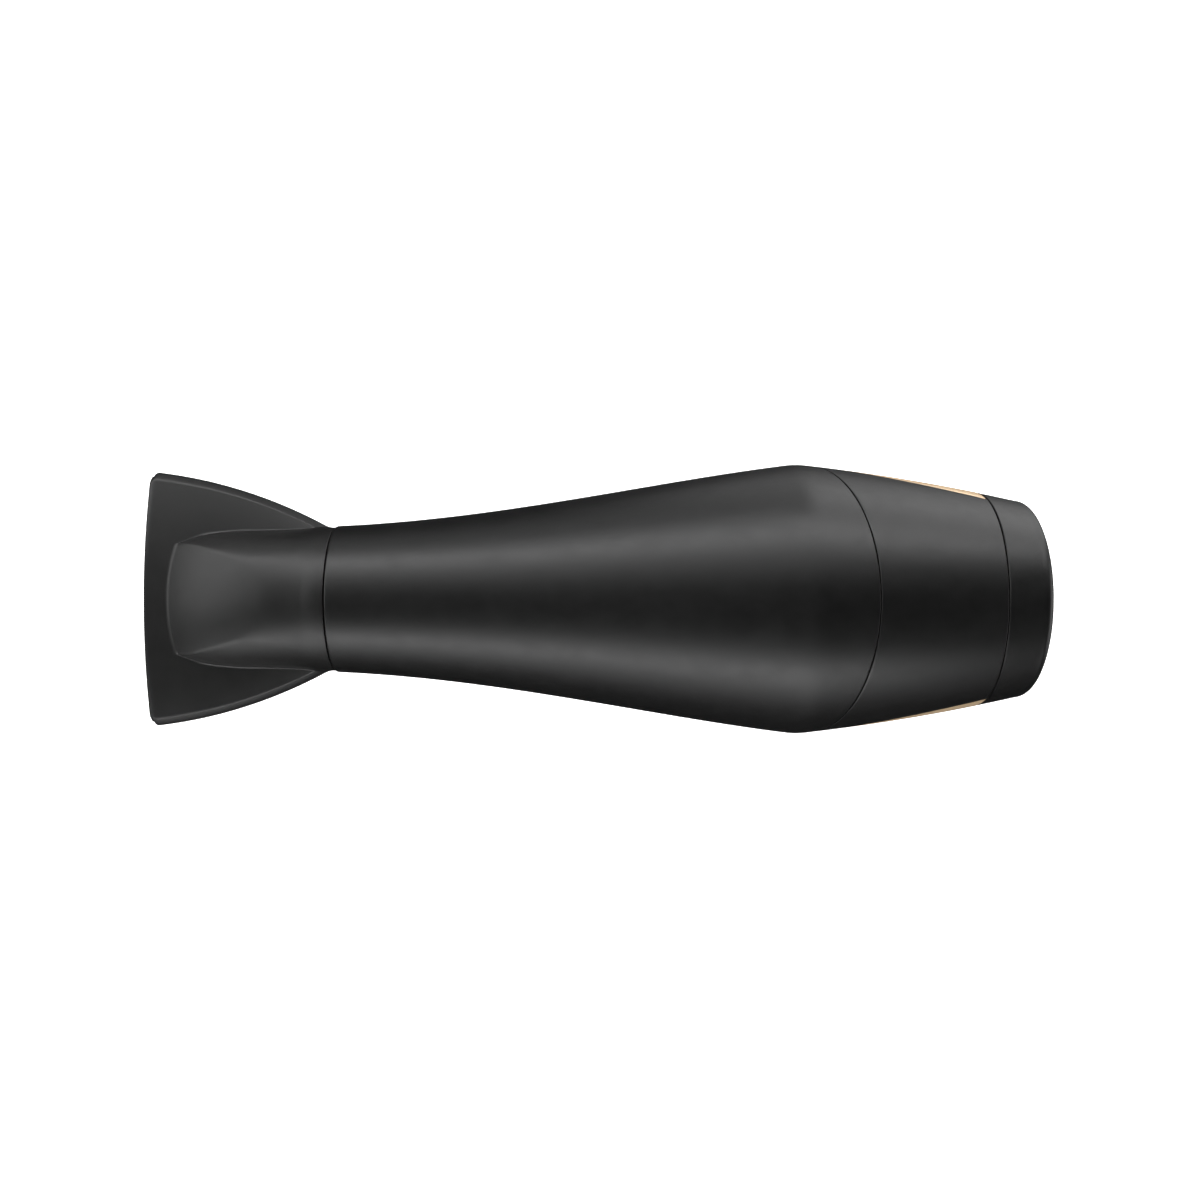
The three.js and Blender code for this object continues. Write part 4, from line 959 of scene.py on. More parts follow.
@dataclass
class SideTrims:
    """The long darts let into both sides of the rear housing.

    A dart's half height grows from its tip along a parabola. The rear housing is pocketed under it, and the
    trim lies in the pocket with a thin gap all round.
    """

    line: BarrelLine
    seam: Seam
    tip: float = 155.5
    bend: tuple[float, float] = (166.96, 12.2)
    tail: tuple[float, float] = (212.8, 14.45)
    end: float = 208.65
    nose: float = 0.16  # more room before the tip
    skin: float = 1.2
    depth: float = 1.5
    gap: float = 0.34
    crown: float = 0.06
    rim_drop: float = 0.22
    end_drop: float = 0.25
    housing_wall: float = 2.8
    ease: float = 0.3
    step: float = 0.0002  # half the drop into the pocket at the tip, as a share of the housing's length
    settle: int = 10  # rounds in which the columns find their places

    def half_height(self, x: Number) -> np.ndarray:
        """Half the dart's height at x, nothing before the tip."""
        outline = bezier([(self.tip, 0.0), self.bend, self.tail], 300)
        return np.interp(x, outline[:, 0], outline[:, 1])

    def housing_skin(self) -> Skin:
        """The rear housing with both pockets.

        Every quarter of a section is measured by its angle from the side: some columns lie on the pocket's
        floor, some climb its wall and turn over its lip, and the rest lie on the open surface up to the top
        or bottom. Rows run from the slanted seam to the cap, with a step from lip to floor at the tip.

        Returns:
            The closed shell.
        """
        floor, lip, open_columns, rows = 9, 5, 34, 96
        turn = np.linspace(0.0, QUARTER, lip)
        drop = np.concatenate([np.full(floor, self.depth), [self.depth], self.ease * (1 - np.sin(turn)),
                               np.zeros(open_columns)])
        inward = np.concatenate([np.linspace(0.0, 1.0, floor), [1.0], np.ones(lip), np.ones(open_columns)])
        beyond = np.concatenate([np.zeros(floor + 1), self.ease * (1 - np.cos(turn)),
                                 np.full(open_columns, self.ease)])
        spread = np.concatenate([np.zeros(floor + 1 + lip),
                                 np.linspace(0.0, 1.0, open_columns + 1)[1:] ** 1.15])
        quarter = len(drop)
        order = np.concatenate([np.arange(quarter)[::-1], np.arange(1, quarter)])
        flank = np.concatenate([-np.ones(quarter), np.ones(quarter - 1)])
        inside = (np.arange(len(order)) > 0) & (np.arange(len(order)) < len(order) - 1)
        column = np.concatenate([order, order[inside][::-1]])
        flip = np.concatenate([flank, flank[inside][::-1]])
        side = np.concatenate([np.ones(len(order)), -np.ones(inside.sum())])
        tip_share = (self.tip - self.gap - self.seam.foot - self.nose) / (self.end - self.seam.foot)
        u = np.concatenate([[0.0, tip_share * 0.5, tip_share - self.step, tip_share + self.step],
                            tip_share + (1 - tip_share) * np.linspace(0.0, 1.0, rows)[1:] ** 1.2])
        u = u[:, None]
        sunk = (np.arange(len(u)) > 2)[:, None]
        angle = np.full((len(u), len(column)), QUARTER)
        x = np.full_like(angle, self.end)
        for _ in range(self.settle):
            radius = self.line.radius(x)
            start = self.seam.at(self.line.radius(self.seam.foot) * np.cos(angle), 1)
            start = self.seam.at(self.line.radius(start[:1]) * np.cos(angle[:1]), 1)
            x = start + self.ease + (self.end - self.ease - start - self.ease) * u
            edge = np.arcsin((self.half_height(x) + self.gap) / radius)
            off = edge * inward[column] + beyond[column] / radius
            off = off + (QUARTER - off) * spread[column]
            angle = side * QUARTER + side * flip * off
        outer = self.line.radius(x) - np.where(sunk, drop[column], 0.0)
        bend = np.linspace(0.0, QUARTER, 5)[:, None]
        lead = x[:1] - self.ease * np.sin(bend[::-1])[:-1]
        lead_radius = outer[:1] - self.ease * (1 - np.cos(bend[::-1]))[:-1]
        trail = x[-1:] + self.ease * np.sin(bend)[1:]
        trail_radius = outer[-1:] - self.ease * (1 - np.cos(bend))[1:]
        back = np.linspace(1.0, 0.0, 16)[:, None]
        inner_start = self.seam.at((self.line.radius(lead[:1]) - self.housing_wall) * np.cos(angle[:1]), 1)
        x_in = inner_start + (self.end - inner_start) * back
        inner = self.line.radius(x_in) - self.housing_wall
        angles = np.concatenate([angle[:1].repeat(4, 0), angle, angle[-1:].repeat(4 + len(back), 0)])
        angles[-len(back):] = angle[-1:] * back + angle[:1] * (1 - back)
        grid = around(np.concatenate([lead, x, trail, x_in]),
                      np.concatenate([lead_radius, outer, trail_radius, inner]), angles)
        return Skin.of_grid(grid, True)

    def dart_skin(self, side: int) -> Skin:
        """One trim: a curved plate under the dart's outline, thinned at its edges.

        A section runs across the outside, lowered near both edges by the sixteenth power of the way to the
        edge, and back across the inside. The tip and the rear end are capped.

        Args:
            side: -1 for the left trim, +1 for the right.

        Returns:
            The closed plate.
        """
        along = np.linspace(0.1, 1.0, 90)[:, None]
        x = self.tip + (self.end - 0.05 - self.tip) * along**1.6
        across = np.sin(np.linspace(-QUARTER, QUARTER, 25))
        radius = self.line.radius(x)
        reach = np.arcsin(self.half_height(x) / radius)
        rim = self.crown * (1 - across**2) - self.rim_drop * np.abs(across) ** 16
        ends = self.end_drop * smoothstep(along, 0.995, 1.0)
        outer = around(x, radius + rim - ends, side * (QUARTER + reach * across))
        inner = around(x, radius - self.skin, side * (QUARTER + reach * across[::-1]))
        return Skin.of_grid(np.concatenate([outer, inner], 1), False)

    def make(self, shop: Workshop) -> None:
        """Build the rear housing and both trims.

        Args:
            shop: Makes the pieces.
        """
        shop.piece("rear_shell", [self.housing_skin()], Body.DRYER, "housing_plastic", ["rear_housing"])
        for name, side in (("left", -1), ("right", 1)):
            shop.piece(f"{name}_trim", [self.dart_skin(side)], Body.DRYER, "champagne_trim",
                       [f"{name}_side_trim"], 50.0)


@dataclass
class IntakeCap:
    """The cap that pulls off the intake: its shell, its ringed grille and the lint filter behind it."""

    line: BarrelLine
    front: float = 208.95
    rear: float = 224.0
    rim: float = 3.0
    rim_start: float = 77.0
    lip_radius: float = 28.3
    lip_edge: float = 0.9
    lip_front: float = 217.9
    skirt_outer: float = 31.7
    skirt_inner: float = 29.7
    skirt_front: float = 202.45
    ease: float = 0.35
    dome_drop: float = 1.5
    ring_count: int = 6
    ring_half: float = 0.6
    ring_depth: float = 2.0
    spokes: int = 6
    hub_radius: float = 5.4
    hub_depth: float = 2.4
    mesh_pitch: float = 2.1
    mesh_wire: float = 0.16
    mesh_lift: float = 0.17
    mesh_reach: float = 26.2
    mesh_x: float = 216.5
    mesh_half_count: int = 12

    def shell_skin(self) -> Skin:
        """The cap's shell, turned from its section.

        The outside follows the barrel's line, turns over the rim along a circle, drops into the mouth
        past a small eased lip, and comes back inside to the skirt that plugs into the rear housing.

        Returns:
            The closed shell.
        """
        x = np.linspace(self.front + self.ease, self.rear - self.rim, 12)
        outside = np.stack([x, self.line.radius(x)], -1)
        turn = np.linspace(math.radians(self.rim_start), 0.0, 12)
        centre = np.array([self.rear - self.rim, self.line.rim_radius - self.rim])
        rim = centre + self.rim * np.stack([np.cos(turn), np.sin(turn)], -1)
        edge = np.linspace(QUARTER, 0.0, 5)[:-1]
        seam = np.stack([self.front + self.ease * (1 - np.sin(edge[::-1])),
                         self.line.radius(self.front) - self.ease * (1 - np.cos(edge[::-1]))], -1)
        corners = [(self.rear, self.lip_radius + self.lip_edge), (self.rear, self.lip_radius),
                   (self.lip_front, self.lip_radius), (self.lip_front, self.skirt_inner),
                   (self.skirt_front, self.skirt_inner),
                   (self.skirt_front, self.skirt_outer), (self.front, self.skirt_outer),
                   (self.front, self.line.radius(self.front) - self.ease - 0.05)]
        inside = eased(corners, self.ease, False, 4)
        return lathe(np.concatenate([outside, rim[:-1], inside, seam]), 160)

    def dome(self, radius: Number) -> np.ndarray:
        """The grille's outer face: a shallow dome that falls with the square of the radius."""
        return self.rear - self.ease - self.dome_drop * (np.asarray(radius) / self.lip_radius) ** 2

    def grille_skins(self) -> list[Skin]:
        """The grille's rings, hub and spokes.

        Rings are rounded bars turned about the axis, seated on the dome. The hub is a low button. Spokes are
        oval bars that run out under the rings.

        Returns:
            Their surfaces.
        """
        made = []
        radii = np.linspace(self.hub_radius + 3.0, self.lip_radius - 2.6, self.ring_count)
        for radius in radii:
            top = float(self.dome(radius))
            inside, outside, low = radius - self.ring_half, radius + self.ring_half, top - self.ring_depth
            corners = [(top, inside), (top, outside), (low, outside), (low, inside)]
            made.append(lathe(eased(corners, self.ease, True, 4), 120))
        top = float(self.dome(0.0)) + 0.1
        low = top - self.hub_depth
        hub = eased([(low, AXIS_GAP), (low, self.hub_radius), (top, self.hub_radius), (top, AXIS_GAP)],
                    [0.0, 0.3, 0.9, 0.0], False, 6)
        made.append(lathe(hub, 64, WORLD, False))
        reach = np.linspace(self.hub_radius - 1.0, self.lip_radius + 0.2, 16)
        for k in range(self.spokes):
            angle = k * TURN / self.spokes
            path = around(self.dome(reach) - 1.5, reach, np.full_like(reach, angle))
            made.append(tube(path, 0.8, 10, WORLD.first, 1.15))
        return made

    def mesh_skins(self) -> list[Skin]:
        """The lint filter's woven wires: two sets of sine waves, out of step, cut to the frame's circle.

        Returns:
            One surface for each wire.
        """
        pitch = self.mesh_pitch
        made = []
        for way in (0, 1):
            for k in range(-self.mesh_half_count, self.mesh_half_count + 1):
                off = k * pitch
                half = math.sqrt(max(self.mesh_reach**2 - off**2, 1.0))
                t = np.linspace(-half, half, max(8, int(2 * half / pitch * 4)))
                wave = self.mesh_x + self.mesh_lift * np.cos(math.pi * (t / pitch + k)) * (1 if way else -1)
                line = (t, np.full_like(t, off)) if way else (np.full_like(t, off), t)
                made.append(tube(np.stack([wave, *line], -1), self.mesh_wire, 5, WORLD.first))
        return made

    def make(self, shop: Workshop) -> None:
        """Build the cap, its filter ring and its woven mesh.

        Args:
            shop: Makes the pieces.
        """
        cap = [self.shell_skin(), *self.grille_skins()]
        shop.piece("cap_shell", cap, Body.INTAKE_CAP, "cap_plastic", ["rear_cap"])
        ring = eased([(214.9, 25.6), (218.0, 25.6), (218.0, 27.7), (214.9, 27.7)], 0.4, True, 4)
        shop.piece("filter_frame", [lathe(ring, 120)], Body.INTAKE_CAP, "cap_plastic", ["filter_ring"])
        shop.piece("filter_weave", self.mesh_skins(), Body.INTAKE_CAP, "steel", ["filter_mesh"])


@dataclass
class Nozzle:
    """The styling nozzle: a round collar and a ramp on a wide flat plate with a slot for a mouth.

    u is the distance forward of the outlet. The upper surface is a height over (u, y); the lower one mirrors
    it. The plan widens along a circle round (arc_u, arc_y). Each curve runs over u.
    """

    collar_radius: float = 23.55
    collar_end: tuple[float, float] = (0.5, 8.0)
    back: float = 0.3
    front: float = 61.8
    bow: float = 0.7
    bow_half: float = 42.0  # distance from the middle at which the front edge has fallen back by its bow
    bore: float = 21.1
    bore_end: tuple[float, float] = (4.0, 20.0)
    wall: float = 1.6
    arc_radius: float = 156.0
    arc_u: float = 77.8
    arc_y: float = -113.3
    arc_blend: float = 0.8
    plate_edge: float = 2.4
    plate_crown: float = 4.6
    plate_start: tuple[float, float] = (23.6, 25.0)  # half widths between which the plate grows out
    band: float = 2.4
    band_mix: tuple[float, float] = (0.62, 0.38)
    corner: float = 1.7
    ease: float = 0.35
    ramp_fall: float = 16.55
    ramp_rate: float = 0.02  # share of the ramp's length in a millimetre
    ramp_lead: float = 8.0
    ramp_mix: tuple[float, float] = (0.45, 0.55)
    ramp_half: float = 18.0
    ramp_bow: float = 1.3
    bow_start: tuple[float, float] = (30.0, 50.0)
    crease_blend: tuple[float, float] = (0.25, 1.6)
    crease_start: tuple[float, float] = (8.0, 30.0)
    fillet: float = 0.5
    flat_share: float = 0.35  # how much the wall's thickness leans along the nozzle
    crease_curve: Curve = ((0.0, 9.8), (5.0, 10.4), (12.0, 11.7), (34.4, 16.0), (50.6, 18.0), (60.0, 18.8))
    drop_curve: Curve = ((0.0, 2.2), (5.0, 2.25), (12.0, 2.4), (24.0, 2.85), (34.4, 2.75), (50.6, 1.8),
                         (60.0, 1.4))
    waist_curve: Curve = ((0.0, 23.6), (5.0, 23.5), (12.0, 23.05), (24.0, 22.85), (34.4, 22.75),
                          (44.0, 21.7), (50.6, 19.5), (56.0, 17.0))
    lean_curve: Curve = ((0.0, 23.55), (5.0, 23.3), (12.0, 22.4), (24.0, 21.0), (34.4, 19.2), (44.0, 17.0),
                         (50.6, 16.4), (56.0, 16.0))
    foot_curve: Curve = ((0.0, 20.4), (5.8, 21.0), (24.0, 22.0), (37.0, 21.7), (44.0, 20.6), (50.6, 19.0),
                         (56.0, 19.6), (70.0, 21.4))

    def half_width(self, u: Number) -> np.ndarray:
        """Half the plan's width: the collar, or a large circle's arc where it is wider, rounded at the tips.

        Args:
            u: Distance forward of the outlet.

        Returns:
            The half width at u.
        """
        arc = self.arc_y + np.sqrt(self.arc_radius**2 - (self.arc_u - np.asarray(u)) ** 2)
        width = smooth_upper(self.collar_radius, arc, self.arc_blend)
        tip = np.clip((u - (self.front - self.bow - self.corner)) / self.corner, 0.0, 1.0)
        return width - self.corner * (1.0 - np.sqrt(1.0 - tip**2 * 0.98))

    def plate_height(self, width: np.ndarray, y: np.ndarray) -> np.ndarray:
        """The plate's upper surface: a shallow crown that turns down over a steep rounded band at its edge.

        Args:
            width: Half the plan's width.
            y: Distance from the middle, never negative.

        Returns:
            The height; the band falls by a mix of a straight line and a quarter circle.
        """
        inner = width - self.band
        crown = self.plate_edge + self.plate_crown * (1.0 - np.minimum(y / width, 1.0) ** 2)
        shoulder = self.plate_edge + self.plate_crown * (1.0 - (inner / width) ** 2)
        q = np.clip((y - inner) / self.band, 0.0, 1.0)
        straight, turned = self.band_mix
        fall = straight * q + turned * (1.0 - np.sqrt(1.0 - q**2))
        return np.where(q > 0, shoulder * (1.0 - fall), crown)

    def duct_height(self, u: np.ndarray, y: np.ndarray) -> np.ndarray:
        """The duct's upper surface: the ramp and the flanks, which meet in a crease.

        The ramp starts level over its lead and falls from the collar along a mix of a line and a cubic, with
        a little crown across, and its front edge bows forward. The flank is an ellipse that narrows towards
        the ramp's foot.

        Args:
            u: Distance forward of the outlet.
            y: Distance from the middle, never negative.

        Returns:
            The height over the middle plane, negative beyond the flank.
        """
        side = np.minimum(y / self.ramp_half, 1.05)
        bowed = u + self.ramp_bow * side**2 * smoothstep(u, *self.bow_start)
        lead = self.ramp_lead
        t = np.where(bowed < lead, bowed**2 / (2 * lead), bowed - lead / 2) * self.ramp_rate
        line, cubic = self.ramp_mix
        ridge = self.collar_radius - self.ramp_fall * (line * t + cubic * t**3)
        ramp = ridge - flow(u, self.drop_curve) * (y / flow(u, self.crease_curve)) ** 2
        flank = 1.0 - (y / flow(u, self.waist_curve)) ** 2
        flank = flow(u, self.lean_curve) * np.sign(flank) * np.sqrt(np.abs(flank))
        sharp, soft = self.crease_blend
        return smooth_lower(ramp, flank, sharp + soft * (1.0 - smoothstep(u, *self.crease_start)))

    def height(self, u: np.ndarray, y: np.ndarray) -> np.ndarray:
        """The outer surface's height.

        The plate meets the duct in a small fillet, and near the seam both turn into the round collar.

        Args:
            u: Distance forward of the outlet.
            y: Distance from the middle.

        Returns:
            The height over the middle plane.
        """
        width = self.half_width(u)
        y = np.abs(y)
        inner = width - self.band
        plate = self.plate_height(width, y)
        body = smooth_upper(plate, self.duct_height(u, y), self.fillet)
        collar = np.sqrt(np.maximum(self.collar_radius**2 - y**2, 0.0))
        edge = np.maximum(collar, plate * smoothstep(width, *self.plate_start))
        share = smoothstep(u, *self.collar_end)
        made = np.where(y > inner, edge, collar) * (1.0 - share) + body * share
        return np.where((y - inner) / self.band >= 1.0, 0.0, made)

    def outer_grid(self) -> tuple[np.ndarray, np.ndarray]:
        """The outer surface and its outward normals.

        Rows are distances u, closer together near the seam, round the ramp's foot and at the mouth. Columns
        are shares of the width: the ramp up to its crease, the flank to its foot, the plate to the band, and
        the band as sines so that they crowd to the edge. The lower half mirrors the upper.

        Returns:
            The points and the normals, both of shape (rows, columns, 3).
        """
        turn = self.front - self.bow - self.corner
        stops = ((self.back + self.ease, 1), (12.0, 34), (48.0, 64), (55.5, 36), (turn, 9))
        rows = [np.linspace(low, high, count)[1:] for (low, _), (high, count) in zip(stops, stops[1:])]
        tip = turn + self.corner * np.sin(np.linspace(0.0, QUARTER, 12))[1:]
        rows = np.concatenate([stops[0][:1], *rows, tip, [self.front - self.ease]])[:, None]
        width = self.half_width(rows)
        crease = flow(rows, self.crease_curve)
        foot = np.minimum(flow(rows, self.foot_curve), width - self.band - 0.2)
        top = np.linspace(0.0, 1.0, 26)[None, :] * crease
        flank = crease + (foot - crease) * np.linspace(0.0, 1.0, 30)[None, 1:]
        plate = foot + (width - self.band - foot) * np.linspace(0.0, 1.0, 26)[None, 1:]
        band = width - self.band + self.band * np.sin(np.linspace(0.0, QUARTER, 14))[None, 1:]
        y = np.concatenate([top, flank, plate, band], 1)
        reach = self.front - self.bow * (y / self.bow_half) ** 2
        u = self.back + (rows - self.back) * (reach - self.back) / (self.front - self.back)
        z = self.height(rows, y)
        upper = np.stack([-u, y, z], -1)
        mirrored = upper * np.array([1.0, -1.0, 1.0])
        top = np.concatenate([upper[:, ::-1], mirrored[:, 1:]], 1)
        low = top[:, ::-1][:, 1:-1] * np.array([1.0, 1.0, -1.0])
        grid = np.concatenate([top, low], 1)
        along = np.gradient(grid, axis=0)
        across = (np.roll(grid, -1, 1) - np.roll(grid, 1, 1)) / 2
        normal = np.cross(along, across)
        normal /= np.linalg.norm(normal, axis=-1, keepdims=True) + 1e-12
        outward = np.einsum("ijk,ijk->", normal[:, :, 1:], grid[:, :, 1:])
        return grid, normal if outward > 0 else -normal

    def skin(self) -> Skin:
        """The nozzle as one closed wall.

        The outer grid, a rounded lip at the mouth, the inner grid (the outer one moved in along its normals
        by the wall's thickness) and a rounded rim at the seam follow each other as rows of one ring.

        Returns:
            The closed wall.
        """
        outer, normal = self.outer_grid()
        u = -outer[..., :1]
        extra = self.collar_radius - self.bore - self.wall
        thick = self.wall + extra * (1.0 - smoothstep(u, *self.bore_end))
        flat = normal * np.array([self.flat_share, 1.0, 1.0])
        inner = outer - flat * thick
        turn = np.linspace(0.0, QUARTER, 5)[1:, None, None]
        ahead = np.array([-1.0, 0.0, 0.0]) * self.ease * np.sin(turn)
        inward = self.ease * (1 - np.cos(turn))
        lip = outer[-1] + ahead - flat[-1] * inward
        lip_in = inner[-1] + ahead[::-1] + flat[-1] * inward[::-1]
        rim = outer[0] - ahead[::-1] - normal[0] * inward[::-1]
        rim_in = inner[0] - ahead + normal[0] * inward
        grid = np.concatenate([outer, lip, lip_in, inner[::-1][::2], rim_in, rim])
        return Skin.of_grid(grid, True)

    def make(self, shop: Workshop) -> None:
        """Build the nozzle."""
        shop.piece("nozzle_body", [self.skin()], Body.NOZZLE, "heat_plastic", ["nozzle_shell"], 60.0)


@dataclass
class Handle:
    """The handle: a superellipse carried down a tilted line, split into a neck, two grip halves and a foot.

    Its local frame has its first axis towards the intake, its second along Y and its third up the handle, so
    a place s down the handle is at -s.
    """

    line: BarrelLine
    root_x: float = 115.0
    tilt: float = 12.0
    depth: float = 18.5
    width: float = 16.0
    squareness: float = 2.35
    neck_end: float = 56.0
    grip_end: float = 160.0
    foot_end: float = 168.0
    gap: float = 0.3
    wall: float = 2.2
    ease: float = 0.35
    fillet: float = 9.0
    fillet_pull: float = 0.6
    neck_swell: tuple[float, float, float] = (3.2, 42.0, 13.0)
    foot_swell: tuple[float, float] = (0.8, 16.0)
    swell_across: float = 0.6
    foot_round: float = 2.8
    foot_floor: float = 2.4
    gland_along: float = -3.5
    gland_hole: float = 6.85
    loop_along: float = 10.5
    loop_wire: float = 1.4
    screws: tuple[float, float] = (120.0, 148.0)
    screw_recess: tuple[float, float] = (15.9, 3.2)
    columns: int = 120

    def place(self, side: int = 1, s: float = 0.0, along: float = 0.0) -> Place:
        """A local frame on the handle.

        Args:
            side: 1 for a first axis towards the intake, -1 for one towards the nozzle.
            s: How far down the handle its origin is.
            along: How far towards the intake its origin is.

        Returns:
            The frame.
        """
        lean = math.radians(self.tilt)
        first = np.array([math.cos(lean), 0.0, -math.sin(lean)])
        third = np.array([math.sin(lean), 0.0, math.cos(lean)])
        origin = np.array([self.root_x, 0.0, 0.0]) - third * s + first * along
        return Place(tuple(origin), tuple(first * side), (0.0, 1.0, 0.0), tuple(third))

    def down(self) -> Place:
        """A local frame whose first axis runs down the handle through the cord's hole."""
        here = self.place(along=self.gland_along)
        return Place(here.origin, tuple(-np.array(here.third)), here.first, here.second)

    def halves(self, s: Number) -> tuple[np.ndarray, np.ndarray]:
        """Half the depth and half the width: the plain section plus a bell-shaped swelling at both ends.

        Args:
            s: How far down the handle.

        Returns:
            Both half sizes at s.
        """
        rise, middle, spread = self.neck_swell
        swell = rise * np.exp(-(((s - middle) / spread) ** 2))
        rise, spread = self.foot_swell
        swell = swell + rise * np.exp(-(((s - self.grip_end) / spread) ** 2))
        return self.depth + swell, self.width + self.swell_across * swell

    def ring(self, s: Number, angle: np.ndarray, inset: Number = 0.0) -> np.ndarray:
        """Local points of the section: each coordinate is the signed power of a cosine or sine.

        Args:
            s: How far down the handle.
            angle: Angle round the section, from its first axis towards its second.
            inset: How far the section is moved in.

        Returns:
            The points.
        """
        power = 2.0 / self.squareness
        deep, wide = self.halves(s)
        c, n = np.cos(angle), np.sin(angle)
        x = (deep - inset) * np.sign(c) * np.abs(c) ** power
        y = (wide - inset) * np.sign(n) * np.abs(n) ** power
        x, y, z = np.broadcast_arrays(x, y, -np.asarray(s, float))
        return np.stack([x, y, z], -1)

    def meeting(self, angle: np.ndarray, outset: float) -> np.ndarray:
        """How far down each column of the section comes through the barrel, by bisection.

        Args:
            angle: The columns' angles round the section.
            outset: How far the section is moved out.

        Returns:
            The distance down the handle for each column.
        """
        low, high = np.full(angle.shape, 2.0), np.full(angle.shape, self.neck_end + 8.0)
        for _ in range(36):
            middle = (low + high) / 2
            p = self.place().put(self.ring(middle, angle, -outset))
            out = np.hypot(p[..., 1], p[..., 2]) > self.line.radius(p[..., 0])
            low, high = np.where(out, low, middle), np.where(out, middle, high)
        return high

    def neck_skin(self) -> Skin:
        """The neck that grows out of the barrel.

        In every column a cubic leaves the barrel along its surface and bends down into the neck's wall; its
        two handles point at the line where the bare wall would meet the barrel. Its upper edge is tucked
        just under the barrel's skin. The wall then runs down to an eased edge, and an inner wall closes the
        shell.

        Returns:
            The closed shell.
        """
        angle = np.arange(self.columns)[None, :] * TURN / self.columns
        put = self.place().put
        corner_s, barrel_s = self.meeting(angle, 0.0), self.meeting(angle, self.fillet)
        corner = put(self.ring(corner_s, angle))
        high = put(self.ring(barrel_s, angle, -self.fillet))
        wall_s = np.minimum(corner_s + self.fillet, self.neck_end - 2.0)
        low = put(self.ring(wall_s, angle))
        outward = high * np.array([0.0, 1.0, 1.0])
        outward = outward / np.linalg.norm(outward, axis=-1, keepdims=True)
        away = high - corner
        away = away / np.linalg.norm(away, axis=-1, keepdims=True)
        t = np.linspace(0.0, 1.0, 22)[:, None, None]
        pull = self.fillet_pull
        curve = ((1 - t) ** 3 * high + 3 * t * (1 - t) ** 2 * (high + pull * (corner - high))
                 + 3 * t**2 * (1 - t) * (low + pull * (corner - low)) + t**3 * low)
        tuck = high + away * 1.4 - outward * 0.5
        share = np.linspace(0.0, 1.0, 10)[1:, None]
        s = wall_s + (self.neck_end - self.ease - wall_s) * share
        turn = np.linspace(0.0, QUARTER, 5)[1:, None]
        edge_s = self.neck_end - self.ease + self.ease * np.sin(turn) + 0 * angle
        edge = self.ring(edge_s, angle, self.ease * (1 - np.cos(turn)))
        inner_s = np.linspace(1.0, 0.0, 8)[:, None] * (self.neck_end - corner_s + 3.0) + corner_s - 3.0
        grid = np.concatenate([tuck, curve, put(self.ring(s, angle)), put(edge),
                               put(self.ring(inner_s, angle, self.wall))])
        return Skin.of_grid(grid, True)

    def grip_skin(self, side: int) -> Skin:
        """Half of the grip: an outer surface with all four edges eased, and an inner one behind it.

        Args:
            side: +1 for the half towards the intake, -1 for the half towards the nozzle.

        Returns:
            The closed half shell.
        """
        turn = np.linspace(QUARTER, 0.0, 4)
        rise, inset_end = self.ease * (1 - np.sin(turn)), self.ease * (1 - np.cos(turn))
        top, bottom = self.neck_end + self.gap, self.grip_end
        s = np.concatenate([top + rise, np.linspace(top + self.ease, bottom - self.ease, 90)[1:-1],
                            bottom - rise[::-1]])[:, None]
        inset = np.concatenate([inset_end, np.zeros(88), inset_end[::-1]])[:, None]
        wide = np.linspace(-QUARTER, QUARTER, 83)[None, 1:-1] * 0.988
        outer = self.ring(s, wide, inset)
        _, half = self.halves(s)
        split_x = (self.gap / 2 + rise)[None, :] + 0 * s
        split_y = half - inset - inset_end[None, :]
        edge = np.stack([split_x, split_y, -s + 0 * split_x], -1)
        outer = np.concatenate([edge * np.array([1, -1, 1]), outer, edge[:, ::-1]], 1)
        inner_edge = np.stack([split_x, half - self.wall + 0 * split_x, -s + 0 * split_x], -1)
        inner = np.concatenate([inner_edge * np.array([1, -1, 1]), self.ring(s, wide, self.wall),
                                inner_edge[:, ::-1]], 1)
        flip = np.array([side, 1.0, 1.0])
        return Skin.between(self.place().put(outer * flip), self.place().put(inner * flip))

    def foot_skin(self) -> Skin:
        """The foot: a cup whose section runs down, turns in over a rounded edge and closes into a flat sole.

        Returns:
            The closed cup.
        """
        angle = np.arange(self.columns)[None, :] * TURN / self.columns
        top, round_edge = self.grip_end + self.gap, self.foot_round
        turn = np.linspace(0.0, QUARTER, 10)[:, None]
        small = np.linspace(QUARTER, 0.0, 4)[:, None]
        s_rows = [top + self.ease * (1 - np.sin(small)), np.array([[162.5], [164.0]]),
                  self.foot_end - round_edge + round_edge * np.sin(turn)]
        in_rows = [self.ease * (1 - np.cos(small)), np.zeros((2, 1)), round_edge * (1 - np.cos(turn))]
        s, inset = np.concatenate(s_rows), np.concatenate(in_rows)
        side = self.ring(s, angle, inset)
        sole = side[-1:] * np.array([1.0, 1.0, 0.0]) * np.linspace(0.94, 0.03, 8)[:, None, None]
        sole[..., 2] = -self.foot_end
        inside_s = self.foot_end - self.foot_floor
        wall = self.ring(np.linspace(inside_s, top, 5)[:, None], angle, self.wall + 0.8)
        floor_rows = wall[:1] * np.array([1.0, 1.0, 0.0]) * np.linspace(0.03, 0.94, 8)[:, None, None]
        floor_rows[..., 2] = -inside_s
        return Skin.of_grid(self.place().put(np.concatenate([side, sole, floor_rows, wall])), True)

